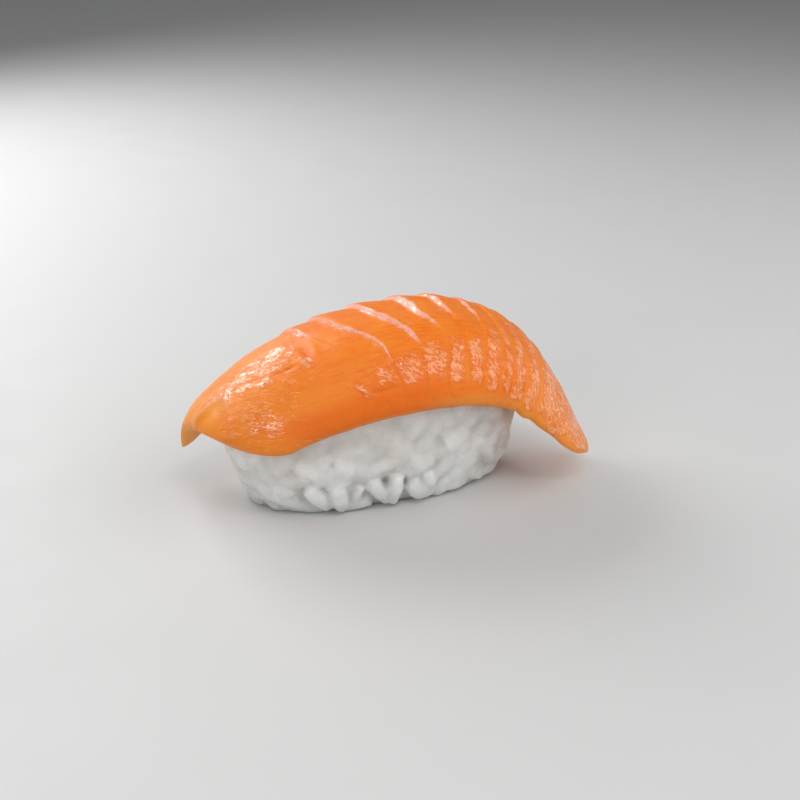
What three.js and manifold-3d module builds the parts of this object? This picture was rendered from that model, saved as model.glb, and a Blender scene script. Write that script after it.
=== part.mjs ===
// Salmon nigiri: a pressed oblong heap of rice with one long slice of raw salmon draped over it.
// Millimetres, +Z up. X runs along the piece, from the diagonal cut end (-X) to the pointed tail (+X),
// and the origin is the middle of the heap's flat foot.
import * as THREE from "three";
import { mergeVertices } from "three/addons/utils/BufferGeometryUtils.js";
import Module from "manifold-3d";

const wasm = await Module();
wasm.setup();

// ---------------------------------------------------------------------------------------------
// Driving dimensions
// ---------------------------------------------------------------------------------------------

// The slice is lofted through these sections. "at" is the place along the slice, 0 at the cut end and
// 1 at the tail's tip. x, y and z are the middle line, front and back are how far the flesh reaches to
// each side measured over its curve, frontFall and backFall are the slopes in degrees that it hangs at
// along those two edges, and thick is its thickness.
const SECTIONS = [
  { at: 0.0, x: -37.2, y: 0.5, z: 14.2, front: 14.8, back: 12.5, frontFall: 48, backFall: 39, thick: 4.8 },
  { at: 0.12, x: -29.5, y: 0.0, z: 19.4, front: 17.0, back: 14.2, frontFall: 59, backFall: 58, thick: 6.9 },
  { at: 0.28, x: -17.0, y: 0.0, z: 26.5, front: 19.1, back: 16.0, frontFall: 71, backFall: 72, thick: 8.8 },
  { at: 0.46, x: -0.3, y: 0.0, z: 31.1, front: 20.0, back: 16.5, frontFall: 73, backFall: 73, thick: 9.2 },
  { at: 0.64, x: 17.0, y: 0.4, z: 31.0, front: 20.5, back: 16.0, frontFall: 70, backFall: 65, thick: 8.3 },
  { at: 0.78, x: 28.6, y: 1.2, z: 25.0, front: 19.3, back: 13.6, frontFall: 62, backFall: 50, thick: 7.0 },
  { at: 0.88, x: 35.2, y: 0.2, z: 16.2, front: 16.0, back: 9.8, frontFall: 45, backFall: 34, thick: 5.5 },
  { at: 0.95, x: 39.8, y: -1.0, z: 8.4, front: 11.5, back: 5.5, frontFall: 21, backFall: 18, thick: 4.2 },
  { at: 1.0, x: 44.2, y: -2.8, z: 2.1, front: 2.8, back: 1.5, frontFall: 4, backFall: 4, thick: 3.0 },
];
const FALL = { bend: 1.25, steps: 8 }; // how late across the slice the fall sets in
const EDGE_FULLNESS = 4; // how square the long edges are
const END_FULLNESS = 14; // how square the two ends are
const CUT_LEAN = { by: 0.136, power: 1.6 }; // share of the length that the cut end's front stands back
const CUT_ROUNDING = { by: 0.06, power: 7 }; // share of the length rounded off at its front corner
const CORNER_SAG = { drop: 4.3, across: 0.25, along: 0.1 }; // the far corner of the cut end droops
const SLICE_GRID = { along: 62, across: 18, endCrowding: 1.25, edgeCrowding: 1.8 };

// The flesh is layered in flakes that lap like shingles. Each rises sharply at its edge nearer the cut
// end and falls off towards the next one. Their edges bow towards the tail a little way down the front.
const FLAKE_EDGES = [0.2, 0.3, 0.37, 0.445, 0.515, 0.57, 0.62, 0.66, 0.7, 0.745, 0.8, 0.86];
const FLAKE = { step: 0.9, riser: 0.014, sink: 0.35, fall: 0.8 };
const FLAKE_BOW = { by: 0.03, side: -0.45, spread: 0.25, ends: 0.6 };

// The heap of rice: an oblong loaf that flares from its foot to a bulge, crowned under the slice.
const HEAP = {
  footLength: 50.0,
  footDepth: 24.4,
  bulgeLength: 59.2,
  bulgeDepth: 28.8,
  bulgeHeight: 13.6,
  crownHeight: 31.0,
  crownFullness: 4,
  squareness: 2.4,
  x: 0,
  y: 0.8,
};
const CORE = { inset: 1.4, around: 40, up: 10, topRing: 0.97 }; // the solid inside, drawn in from the outline
const GRAIN = { length: 6.2, width: 2.9, sides: 5, lengthSpread: 0.14, widthSpread: 0.1, sink: 1.1 };
const GRAIN_RINGS = [
  { height: -0.7, fullness: 0.82, twist: 0 },
  { height: 0, fullness: 1.08, twist: 0.5 },
  { height: 0.7, fullness: 0.82, twist: 1 },
];
const GRAIN_STOPS = [-1, -0.5, 0, 0.5, 1]; // places along two grains where the gap between them is taken
const GRAIN_COVER = {
  lowest: 0.9,
  highest: 24,
  lowBias: 1.2,
  tries: 4000,
  usual: 95,
  closest: 0.88,
  headroom: 0.8,
};
const GOLDEN_SHARE = 0.618034;
const GAP = 0.35; // clearance between rice and slice
const SKIRT = 12; // how far the cut above the rice runs past the slice's edges
const CUT_TOP = 60; // height that the cut above the rice reaches
const CUT_FOOT = { width: 200, depth: 40 }; // the block taken away under the foot
const SMALL_STEP = 1e-3; // used to find the direction of a surface
const SEED = 20;

const SALMON_COLOUR = 0xec7a32;
const RICE_COLOUR = 0xe9e7e0;

// ---------------------------------------------------------------------------------------------
// Small mathematics
// ---------------------------------------------------------------------------------------------

const radians = THREE.MathUtils.degToRad;
const clamp = THREE.MathUtils.clamp;

// A repeatable stream of numbers from 0 to 1.
function randomStream(seed) {
  let state = seed;
  return () => {
    state = (state * 1664525 + 1013904223) % 4294967296;
    return state / 4294967296;
  };
}

// One property of the sections at any place along the slice, on a smooth curve through them all.
function sectionValue(name, at) {
  const last = SECTIONS.length - 1;
  let i = 0;
  while (i < last - 1 && at >= SECTIONS[i + 1].at) {
    i += 1;
  }
  const slope = (j) => (SECTIONS[j + 1][name] - SECTIONS[j][name]) / (SECTIONS[j + 1].at - SECTIONS[j].at);
  const tangent = (j) => {
    if (j === 0) {
      return slope(0);
    }
    if (j === last) {
      return slope(last - 1);
    }
    const before = SECTIONS[j].at - SECTIONS[j - 1].at;
    const after = SECTIONS[j + 1].at - SECTIONS[j].at;
    return (slope(j - 1) * after + slope(j) * before) / (before + after);
  };
  const span = SECTIONS[i + 1].at - SECTIONS[i].at;
  const t = (at - SECTIONS[i].at) / span;
  const startWeight = 2 * t ** 3 - 3 * t ** 2 + 1;
  const startPull = (t ** 3 - 2 * t ** 2 + t) * span;
  const endPull = (t ** 3 - t ** 2) * span;
  return startWeight * SECTIONS[i][name] + (1 - startWeight) * SECTIONS[i + 1][name]
    + startPull * tangent(i) + endPull * tangent(i + 1);
}

// ---------------------------------------------------------------------------------------------
// The slice of salmon
// ---------------------------------------------------------------------------------------------

// A point of the slice's middle surface. "at" runs along it, "side" from -1 (front edge) to 1 (back).
function middlePoint(at, side) {
  const runX = sectionValue("x", at + SMALL_STEP) - sectionValue("x", at - SMALL_STEP);
  const runZ = sectionValue("z", at + SMALL_STEP) - sectionValue("z", at - SMALL_STEP);
  const run = Math.hypot(runX, runZ);
  const reach = sectionValue(side < 0 ? "front" : "back", at);
  const fall = radians(sectionValue(side < 0 ? "frontFall" : "backFall", at));
  const stride = (Math.abs(side) * reach) / FALL.steps;
  let out = 0;
  let down = 0;
  for (let i = 0; i < FALL.steps; i += 1) {
    const slope = fall * (((i + 0.5) / FALL.steps) * Math.abs(side)) ** FALL.bend;
    out += Math.cos(slope) * stride;
    down += Math.sin(slope) * stride;
  }
  const sag = CORNER_SAG.drop
    * THREE.MathUtils.smoothstep(side, CORNER_SAG.across, 1)
    * THREE.MathUtils.smoothstep(CORNER_SAG.along - at, 0, CORNER_SAG.along);
  return new THREE.Vector3(
    sectionValue("x", at) + (runZ / run) * down,
    sectionValue("y", at) + Math.sign(side) * out,
    sectionValue("z", at) - (runX / run) * down - sag,
  );
}

// Where the slice starts at this side: the cut end runs diagonally, with a rounded front corner.
function cutEnd(side) {
  const diagonal = CUT_LEAN.by * ((1 - side) / 2) ** CUT_LEAN.power;
  return diagonal + CUT_ROUNDING.by * clamp(-side, 0, 1) ** CUT_ROUNDING.power;
}

function alongSlice(part, side) {
  const start = cutEnd(side);
  return start + part * (1 - start);
}

function sliceNormal(at, side) {
  const alongStep = middlePoint(at + SMALL_STEP, side).sub(middlePoint(at - SMALL_STEP, side));
  const high = Math.min(side + SMALL_STEP, 1);
  const low = Math.max(side - SMALL_STEP, -1);
  const acrossStep = middlePoint(at, high).sub(middlePoint(at, low));
  return alongStep.cross(acrossStep).normalize();
}

// How far the flakes lift the top above the slice's smooth form, or sink it below.
function flakeRise(part, side) {
  const bowed = 1 - THREE.MathUtils.smoothstep(part, FLAKE_EDGES[0], FLAKE_BOW.ends);
  const bow = FLAKE_BOW.by * bowed * Math.exp(-(((side - FLAKE_BOW.side) / FLAKE_BOW.spread) ** 2));
  const place = part - bow;
  const next = FLAKE_EDGES.findIndex((edge) => edge > place);
  if (next <= 0) {
    return 0;
  }
  const start = FLAKE_EDGES[next - 1];
  const across = (place - start) / (FLAKE_EDGES[next] - start);
  const riser = THREE.MathUtils.smoothstep(place, start, start + FLAKE.riser);
  const ends = THREE.MathUtils.smoothstep(part, FLAKE_EDGES[0], FLAKE_EDGES[1])
    * (1 - THREE.MathUtils.smoothstep(part, FLAKE_EDGES.at(-2), FLAKE_EDGES.at(-1)));
  return FLAKE.step * ends * (riser * (1 - across) ** FLAKE.fall - FLAKE.sink);
}

// A point on the top (face = 1) or the underside (face = -1) of the slice.
function slicePoint(part, side, face) {
  const at = alongSlice(part, side);
  const edge = (1 - Math.abs(side) ** EDGE_FULLNESS) ** 0.5;
  const end = (1 - Math.abs(2 * part - 1) ** END_FULLNESS) ** 0.5;
  const half = 0.5 * sectionValue("thick", at) * edge * end;
  const rise = face > 0 ? flakeRise(part, side) * edge * end : 0;
  return middlePoint(at, side).addScaledVector(sliceNormal(at, side), face * (half + rise));
}

// Steps from -1 to 1 that close up towards both ends, so that rounded edges get more of them.
function crowdedSteps(count, crowding) {
  return Array.from({ length: count + 1 }, (_, i) => {
    const p = (2 * i) / count - 1;
    return Math.sign(p) * (1 - (1 - Math.abs(p)) ** crowding);
  });
}

// A closed body from two grids that share their rim: the top one faces up, the other down.
function shellBetween(top, bottom) {
  const rows = top.length;
  const columns = top[0].length;
  const positions = [];
  const index = [];
  const onRim = (i, j) => i === 0 || j === 0 || i === rows - 1 || j === columns - 1;
  const number = (grid) => grid.map((line, i) => line.map((point, j) => {
    if (grid === bottom && onRim(i, j)) {
      return topNumbers[i][j];
    }
    positions.push(point.x, point.y, point.z);
    return positions.length / 3 - 1;
  }));
  const topNumbers = number(top);
  const bottomNumbers = number(bottom);
  for (let i = 0; i < rows - 1; i += 1) {
    for (let j = 0; j < columns - 1; j += 1) {
      const quad = (n) => [n[i][j], n[i + 1][j], n[i + 1][j + 1], n[i][j + 1]];
      const [a, b, c, d] = quad(topNumbers);
      index.push(a, b, c, a, c, d);
      const [e, f, g, h] = quad(bottomNumbers);
      index.push(e, g, f, e, h, g);
    }
  }
  return { positions, index };
}

// The places across and along the slice where its points lie.
const sliceSides = crowdedSteps(SLICE_GRID.across, SLICE_GRID.edgeCrowding);
const sliceParts = (count) => crowdedSteps(count, SLICE_GRID.endCrowding).map((p) => 0.5 + 0.5 * p);

function sliceGrid(face) {
  return sliceParts(SLICE_GRID.along).map((part) => sliceSides.map((side) => slicePoint(part, side, face)));
}

function salmonSlice() {
  return solidFrom(shellBetween(sliceGrid(1), sliceGrid(-1)));
}

// ---------------------------------------------------------------------------------------------
// Solids
// ---------------------------------------------------------------------------------------------

function solidFrom({ positions, index }) {
  return new wasm.Manifold(new wasm.Mesh({
    numProp: 3,
    vertProperties: new Float32Array(positions),
    triVerts: new Uint32Array(index),
  }));
}

function meshFrom(solid, name, material) {
  const { vertProperties, triVerts } = solid.getMesh();
  const geometry = new THREE.BufferGeometry();
  geometry.setAttribute("position", new THREE.BufferAttribute(vertProperties, 3));
  geometry.setIndex(new THREE.BufferAttribute(triVerts, 1));
  geometry.computeVertexNormals();
  const mesh = new THREE.Mesh(geometry, material);
  mesh.name = name;
  return mesh;
}

// ---------------------------------------------------------------------------------------------
// The rice
// ---------------------------------------------------------------------------------------------

// The heap's outline at one height, as half its length and half its depth.
function heapReach(z) {
  const flare = Math.sin((clamp(z / HEAP.bulgeHeight, 0, 1) * Math.PI) / 2);
  const rise = clamp((z - HEAP.bulgeHeight) / (HEAP.crownHeight - HEAP.bulgeHeight), 0, 1);
  const crown = (1 - rise ** HEAP.crownFullness) ** 0.5;
  return {
    length: 0.5 * THREE.MathUtils.lerp(HEAP.footLength, HEAP.bulgeLength, flare) * crown,
    depth: 0.5 * THREE.MathUtils.lerp(HEAP.footDepth, HEAP.bulgeDepth, flare) * crown,
  };
}

// A point on the heap's outline, drawn in by inset.
function heapPoint(angle, z, inset) {
  const reach = heapReach(z);
  const cos = Math.cos(angle);
  const sin = Math.sin(angle);
  const power = HEAP.squareness;
  const radius = (Math.abs(cos) ** power + Math.abs(sin) ** power) ** (-1 / power);
  return new THREE.Vector3(
    HEAP.x + Math.max(reach.length - inset, 0) * radius * cos,
    HEAP.y + Math.max(reach.depth - inset, 0) * radius * sin,
    z,
  );
}

// Rings of points from a bottom pole to a top pole, joined into a closed body.
function ringedBody(rings, bottomPole, topPole) {
  const positions = [bottomPole, ...rings.flat(), topPole].flatMap((p) => [p.x, p.y, p.z]);
  const sides = rings[0].length;
  const number = (ring, side) => 1 + ring * sides + (side % sides);
  const topNumber = positions.length / 3 - 1;
  const index = [];
  for (let side = 0; side < sides; side += 1) {
    index.push(0, number(0, side + 1), number(0, side));
    for (let ring = 0; ring < rings.length - 1; ring += 1) {
      const [a, b] = [number(ring, side), number(ring, side + 1)];
      const [c, d] = [number(ring + 1, side), number(ring + 1, side + 1)];
      index.push(a, b, d, a, d, c);
    }
    index.push(topNumber, number(rings.length - 1, side), number(rings.length - 1, side + 1));
  }
  return solidFrom({ positions, index });
}

function riceCore() {
  const rings = [];
  for (let i = 0; i < CORE.up; i += 1) {
    const z = HEAP.crownHeight * CORE.topRing * (i / (CORE.up - 1));
    const ring = [];
    for (let j = 0; j < CORE.around; j += 1) {
      ring.push(heapPoint((j / CORE.around) * Math.PI * 2, z, CORE.inset));
    }
    rings.push(ring);
  }
  const foot = new THREE.Vector3(HEAP.x, HEAP.y, 0);
  const crown = new THREE.Vector3(HEAP.x, HEAP.y, HEAP.crownHeight - CORE.inset);
  return ringedBody(rings, foot, crown);
}

// One cooked grain: a plump spindle with few sides, lying along the given direction.
function grain(centre, direction, length, width) {
  const turn = new THREE.Quaternion().setFromUnitVectors(new THREE.Vector3(0, 0, 1), direction);
  const place = (radius, angle, height) => new THREE.Vector3(
    radius * Math.cos(angle),
    radius * Math.sin(angle),
    height,
  ).applyQuaternion(turn).add(centre);
  const rings = GRAIN_RINGS.map((ring) => Array.from({ length: GRAIN.sides }, (_, j) => place(
    0.5 * width * ring.fullness,
    ((j + ring.twist) / GRAIN.sides) * Math.PI * 2,
    0.5 * length * ring.height,
  )));
  return ringedBody(rings, place(0, 0, -0.5 * length), place(0, 0, 0.5 * length));
}

// The gap between two grains' middle lines.
function gapBetween(first, second) {
  const line = ({ centre, direction, length, width }) => GRAIN_STOPS.map(
    (stop) => centre.clone().addScaledVector(direction, 0.5 * stop * (length - width)),
  );
  const others = line(second);
  return Math.min(...line(first).flatMap((p) => others.map((q) => p.distanceTo(q))));
}

// The height of the slice's underside over a place, or that of its nearest edge outside it.
function heightOfSlice(underside, place) {
  const away = (p) => (p.x - place.x) ** 2 + (p.y - place.y) ** 2;
  return underside.reduce((best, p) => (away(p) < away(best) ? p : best)).z;
}

// Grains laid one after another round the heap's side, below the slice, the largest first. Each lies in
// the surface at a chance angle and is kept only where it presses just a little into those before it.
function grainCover() {
  const random = randomStream(SEED);
  const underside = sliceGrid(-1).flat();
  const laid = [];
  for (let i = 0; i < GRAIN_COVER.tries; i += 1) {
    const z = THREE.MathUtils.lerp(GRAIN_COVER.lowest, GRAIN_COVER.highest, random() ** GRAIN_COVER.lowBias);
    const angle = ((i * GOLDEN_SHARE) % 1) * Math.PI * 2;
    const centre = heapPoint(angle, z, GRAIN.sink);
    const level = heapPoint(angle + SMALL_STEP, z, GRAIN.sink).sub(centre).normalize();
    const upward = heapPoint(angle, z + SMALL_STEP, GRAIN.sink).sub(centre).normalize();
    const lie = Math.PI * random();
    const direction = level.multiplyScalar(Math.cos(lie)).addScaledVector(upward, Math.sin(lie)).normalize();
    const size = Math.max(1 - (2 * laid.length) / GRAIN_COVER.usual, -1);
    const length = GRAIN.length * (1 + GRAIN.lengthSpread * size);
    const width = GRAIN.width * (1 + GRAIN.widthSpread * size);
    const next = { centre, direction, length, width };
    const apart = laid.every((g) => gapBetween(g, next) > GRAIN_COVER.closest * GRAIN.width);
    if (apart && z < heightOfSlice(underside, centre) - GRAIN_COVER.headroom) {
      laid.push(next);
    }
  }
  return laid.map((g) => grain(g.centre, g.direction, g.length, g.width));
}

// The space that the slice takes up, with its clearance, opened out past its edges and far upward.
function spaceAboveRice() {
  const lower = sliceParts(SLICE_GRID.along / 2).map((part) => {
    const line = sliceSides.map((side) => {
      const normal = sliceNormal(alongSlice(part, side), side);
      return slicePoint(part, side, -1).addScaledVector(normal, -GAP);
    });
    const front = line[0].clone().add(new THREE.Vector3(0, -SKIRT, 0));
    const back = line[line.length - 1].clone().add(new THREE.Vector3(0, SKIRT, 0));
    return [front, ...line, back];
  });
  const upper = lower.map((line) => line.map((point) => new THREE.Vector3(point.x, point.y, CUT_TOP)));
  return prismBetween(upper, lower);
}

// A closed body between an upper and a lower grid, with walls all round.
function prismBetween(upper, lower) {
  const rows = upper.length;
  const columns = upper[0].length;
  const positions = [...upper.flat(), ...lower.flat()].flatMap((p) => [p.x, p.y, p.z]);
  const index = [];
  const high = (i, j) => i * columns + j;
  const low = (i, j) => rows * columns + i * columns + j;
  for (let i = 0; i < rows - 1; i += 1) {
    for (let j = 0; j < columns - 1; j += 1) {
      index.push(high(i, j), high(i + 1, j), high(i + 1, j + 1));
      index.push(high(i, j), high(i + 1, j + 1), high(i, j + 1));
      index.push(low(i, j), low(i + 1, j + 1), low(i + 1, j));
      index.push(low(i, j), low(i, j + 1), low(i + 1, j + 1));
    }
  }
  const wall = (i0, j0, i1, j1) => {
    index.push(high(i0, j0), low(i1, j1), low(i0, j0));
    index.push(high(i0, j0), high(i1, j1), low(i1, j1));
  };
  for (let i = 0; i < rows - 1; i += 1) {
    wall(i + 1, 0, i, 0);
    wall(i, columns - 1, i + 1, columns - 1);
  }
  for (let j = 0; j < columns - 1; j += 1) {
    wall(0, j, 0, j + 1);
    wall(rows - 1, j + 1, rows - 1, j);
  }
  return solidFrom({ positions, index });
}

// Everything under the surface that the piece stands on.
function spaceBelowFoot() {
  const box = new THREE.BoxGeometry(CUT_FOOT.width, CUT_FOOT.width, CUT_FOOT.depth);
  box.translate(0, 0, -0.5 * CUT_FOOT.depth);
  box.deleteAttribute("normal");
  box.deleteAttribute("uv");
  const merged = mergeVertices(box);
  return solidFrom({ positions: merged.attributes.position.array, index: merged.index.array });
}

// The biggest connected body, without loose scraps or the walls of sealed hollows.
function largestBody(solid) {
  return solid.decompose().reduce((best, body) => (body.volume() > best.volume() ? body : best));
}

function riceHeap() {
  const heap = grainCover().reduce((joined, next) => joined.add(next), riceCore());
  return largestBody(heap.subtract(spaceBelowFoot()).subtract(spaceAboveRice()));
}

// ---------------------------------------------------------------------------------------------
// The piece
// ---------------------------------------------------------------------------------------------

const salmonFlesh = new THREE.MeshStandardMaterial({ color: SALMON_COLOUR, roughness: 0.3, metalness: 0 });
const cookedRice = new THREE.MeshStandardMaterial({ color: RICE_COLOUR, roughness: 0.35, metalness: 0 });

const nigiri = new THREE.Group();
nigiri.add(meshFrom(riceHeap(), "rice", cookedRice));
nigiri.add(meshFrom(salmonSlice(), "salmon_slice", salmonFlesh));

export default nigiri;
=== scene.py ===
"""Looks of a salmon nigiri: a heap of cooked rice under one long slice of raw salmon.

Sizes are in millimetres, as in the part's own source, and become metres where a mesh is made.
"""

import logging
import math
from contextlib import contextmanager
from dataclasses import dataclass, field
from enum import Enum
from typing import Any, Iterator, Sequence

import bpy
import numpy as np
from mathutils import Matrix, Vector, kdtree


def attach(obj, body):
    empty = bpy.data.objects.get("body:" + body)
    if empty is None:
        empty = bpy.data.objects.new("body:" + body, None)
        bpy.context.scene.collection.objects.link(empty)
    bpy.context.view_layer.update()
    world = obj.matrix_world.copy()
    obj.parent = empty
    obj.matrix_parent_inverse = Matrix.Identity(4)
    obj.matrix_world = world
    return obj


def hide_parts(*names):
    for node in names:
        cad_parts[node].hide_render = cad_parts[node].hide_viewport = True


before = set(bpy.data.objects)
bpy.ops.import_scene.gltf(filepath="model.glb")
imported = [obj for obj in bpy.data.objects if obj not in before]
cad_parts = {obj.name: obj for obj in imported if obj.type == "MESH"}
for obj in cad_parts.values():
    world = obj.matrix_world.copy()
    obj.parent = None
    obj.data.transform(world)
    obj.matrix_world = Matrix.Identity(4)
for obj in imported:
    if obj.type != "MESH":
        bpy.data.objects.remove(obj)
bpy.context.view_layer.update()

MM = 0.001
Colour = tuple[float, float, float, float]
Ramp = tuple[float, float]  # where a change starts and where it ends
Range = tuple[float, float, float, float]  # two ends, and what they become
Array = np.ndarray
Socket = bpy.types.NodeSocket
Thing = bpy.types.Object
log = logging.getLogger("nigiri")


class Body(Enum):
    """The bodies of the frame that a piece can ride on."""

    ROOT = "root"


class Slot(Enum):
    """The record's material slots."""

    RICE = "cooked_rice"
    SALMON = "salmon_flesh"


class Face(Enum):
    """The two faces of the slice."""

    TOP = 1
    UNDER = -1


# ------------------------------------------------------------
# Small mathematics
# ------------------------------------------------------------


def smoothstep(value: Array, low: float, high: float) -> Array:
    """Ease from 0 at low to 1 at high.

    Args:
        value: The numbers to ease.
        low: Where the rise starts.
        high: Where the rise ends.

    Returns:
        Numbers from 0 to 1.
    """
    share = np.clip((value - low) / (high - low), 0.0, 1.0)
    return share * share * (3.0 - 2.0 * share)


def faded(value: Array, low: float, high: float) -> Array:
    """Ease from 1 at low to 0 at high."""
    return 1 - smoothstep(value, low, high)


def hump(value: Array, middle: Any, width: float) -> Array:
    """A bell of height 1 at middle that falls off over width.

    Args:
        value: The places to look at.
        middle: Where the bell stands.
        width: How far it reaches.

    Returns:
        Numbers from 0 to 1.
    """
    return np.exp(-(((value - middle) / width) ** 2))


def smooth_curve(places: Sequence[float], values: Sequence[float], at: Array) -> Array:
    """A smooth curve through all of the given values.

    Args:
        places: Rising places where values are known.
        values: The values there.
        at: The places asked for.

    Returns:
        The values at those places.
    """
    stops = np.asarray(places, float)
    known = np.asarray(values, float)
    gaps = np.diff(stops)
    slopes = np.diff(known) / gaps
    inner = (slopes[:-1] * gaps[1:] + slopes[1:] * gaps[:-1]) / (gaps[1:] + gaps[:-1])
    tangents = np.concatenate([slopes[:1], inner, slopes[-1:]])
    i = np.clip(np.searchsorted(stops, at, side="right") - 1, 0, len(gaps) - 1)
    span = gaps[i]
    t = (at - stops[i]) / span
    weight = 2 * t**3 - 3 * t**2 + 1
    pull = (t**3 - 2 * t**2 + t) * span * tangents[i] + (t**3 - t**2) * span * tangents[i + 1]
    return weight * known[i] + (1 - weight) * known[i + 1] + pull


def crowded(steps: Array, crowding: float) -> Array:
    """Steps from -1 to 1 that close up towards both ends.

    Args:
        steps: Even steps from -1 to 1.
        crowding: How strongly they close up, where 1 leaves them even.

    Returns:
        The crowded steps.
    """
    return np.sign(steps) * (1 - (1 - np.abs(steps)) ** crowding)


# The numbers that turn a cell in space and a seed into chance.
CELL_PRIMES = np.array([73856093, 19349663, 83492791])
SEED_PRIME = 2654435761
MIXING_PRIME = 1274126177
POSITIVE = 0x7FFFFFFF
CHANCE_LEVELS = 0xFFFF


@dataclass(frozen=True)
class Unevenness:
    """Smooth chance unevenness in space, the same for the same seed.

    size is how large its lumps are, in the points' own unit, and height how far it goes up and
    down.
    """

    seed: int
    size: float
    height: float = 1.0

    def at(self, points: Array) -> Array:
        """Unevenness at the points.

        Args:
            points: Places, one row each.

        Returns:
            One number for each point, from minus the height to the height.
        """
        scaled = points / self.size
        cell = np.floor(scaled).astype(np.int64)
        share = scaled - cell
        share = share**3 * (share * (share * 6 - 15) + 10)
        total = np.zeros(len(points))
        for corner in np.ndindex(2, 2, 2):
            offset = np.array(corner)
            mixed = ((cell + offset) * CELL_PRIMES).sum(1)
            mixed = (mixed ^ (self.seed * SEED_PRIME)) & POSITIVE
            mixed = ((mixed ^ (mixed >> 13)) * MIXING_PRIME) & POSITIVE
            mixed = (mixed ^ (mixed >> 16)) & CHANCE_LEVELS
            weight = np.where(offset, share, 1 - share).prod(1)
            total += weight * (mixed / (CHANCE_LEVELS / 2) - 1.0)
        return self.height * total


@dataclass(frozen=True)
class Strokes:
    """Chance unevenness drawn out into strokes on a sheet.

    turn is their direction in degrees, long and short how long and wide they are, and height how
    far they go up and down.
    """

    seed: int
    turn: float
    long: float
    short: float
    height: float = 1.0

    def at(self, run: Array, reach: Array) -> Array:
        """The strokes' height at some places.

        Args:
            run: Places along the sheet.
            reach: Places across it.

        Returns:
            One number for each place, from minus the height to the height.
        """
        angle = math.radians(self.turn)
        ahead = (run * math.cos(angle) + reach * math.sin(angle)) / self.long
        aside = (reach * math.cos(angle) - run * math.sin(angle)) / self.short
        places = np.stack([ahead, aside, np.full_like(ahead, 0.5)], axis=1)
        return Unevenness(self.seed, 1.0, self.height).at(places)


@dataclass(frozen=True)
class Zone:
    """A part of the slice with eased borders, in shares of its length and width.

    Each border says where its ease starts and where it ends. One that isn't given lies beyond the
    slice.
    """

    strength: float
    part_from: Ramp = (-3.0, -2.0)
    part_to: Ramp = (2.0, 3.0)
    side_from: Ramp = (-3.0, -2.0)
    side_to: Ramp = (2.0, 3.0)

    def at(self, part: Array, side: Array) -> Array:
        """How strong the zone is.

        Args:
            part: Places along the slice.
            side: Places across it.

        Returns:
            Numbers from 0, outside the zone, to its strength inside.
        """
        lengthwise = smoothstep(part, *self.part_from) * faded(part, *self.part_to)
        crosswise = smoothstep(side, *self.side_from) * faded(side, *self.side_to)
        return self.strength * lengthwise * crosswise


def strongest(zones: Sequence[Zone], part: Array, side: Array) -> Array:
    """The strongest of some zones at each place."""
    return np.maximum.reduce([zone.at(part, side) for zone in zones])


# ------------------------------------------------------------
# Work at the bench
# ------------------------------------------------------------


class Bench:
    """Shared handling of Blender's objects."""

    @staticmethod
    def clear() -> None:
        """Leave nothing selected."""
        bpy.ops.object.select_all(action="DESELECT")

    @staticmethod
    def only(obj: Thing) -> None:
        """Select one object alone and make it the active one."""
        Bench.clear()
        obj.select_set(True)
        bpy.context.view_layer.objects.active = obj

    @staticmethod
    @contextmanager
    def editing() -> Iterator[None]:
        """Work on the active mesh in edit mode, and leave it with nothing of it selected."""
        bpy.ops.object.mode_set(mode="EDIT")
        yield
        bpy.ops.mesh.select_all(action="DESELECT")
        bpy.ops.object.mode_set(mode="OBJECT")

    @staticmethod
    def face_outwards() -> None:
        """Select all of the mesh that is being edited, and turn its faces outwards."""
        bpy.ops.mesh.select_all(action="SELECT")
        bpy.ops.mesh.normals_make_consistent(inside=False)

    @staticmethod
    def points(obj: Thing) -> Array:
        """The places of an object's vertices, one row each."""
        places = np.zeros(len(obj.data.vertices) * 3)
        obj.data.vertices.foreach_get("co", places)
        return places.reshape(-1, 3)

    @staticmethod
    def place(obj: Thing, points: Array) -> None:
        """Put an object's vertices at places given in millimetres."""
        obj.data.vertices.foreach_set("co", (points * MM).astype(np.float32).ravel())
        obj.data.update()

    @staticmethod
    def mark(obj: Thing, name: str, values: Array) -> None:
        """Keep one number for each vertex under a name that a material can read."""
        layer = obj.data.attributes.new(name, "FLOAT", "POINT")
        layer.data.foreach_set("value", values.astype(np.float32))

    @staticmethod
    def join(objects: Sequence[Thing], name: str) -> Thing:
        """Join meshes into the first one.

        Args:
            objects: The meshes to join.
            name: The name that the joined piece gets.

        Returns:
            The joined piece.
        """
        Bench.clear()
        for obj in objects:
            obj.select_set(True)
        bpy.context.view_layer.objects.active = objects[0]
        bpy.ops.object.join()
        joined = bpy.context.view_layer.objects.active
        joined.name = name
        joined.data.name = name
        return joined

    @staticmethod
    def finish(obj: Thing, node: str, slot: Slot, material: bpy.types.Material) -> None:
        """Dress a finished piece and set it on the frame.

        Args:
            obj: The finished piece.
            node: The CAD node that it stands for.
            slot: The record's slot; it is not used.
            material: Its material.
        """
        obj.data.materials.clear()
        obj.data.materials.append(material)
        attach(obj, Body.ROOT.value)
        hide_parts(node)


# ------------------------------------------------------------
# The slice's form
# ------------------------------------------------------------


@dataclass(frozen=True)
class Section:
    """One place along the slice where its form is given.

    x, y and z are its middle line, front and back how far the flesh reaches to each side over its
    curve, front_fall and back_fall the slopes in degrees at those edges, thick its thickness.
    """

    at: float
    x: float
    y: float
    z: float
    front: float
    back: float
    front_fall: float
    back_fall: float
    thick: float


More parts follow.
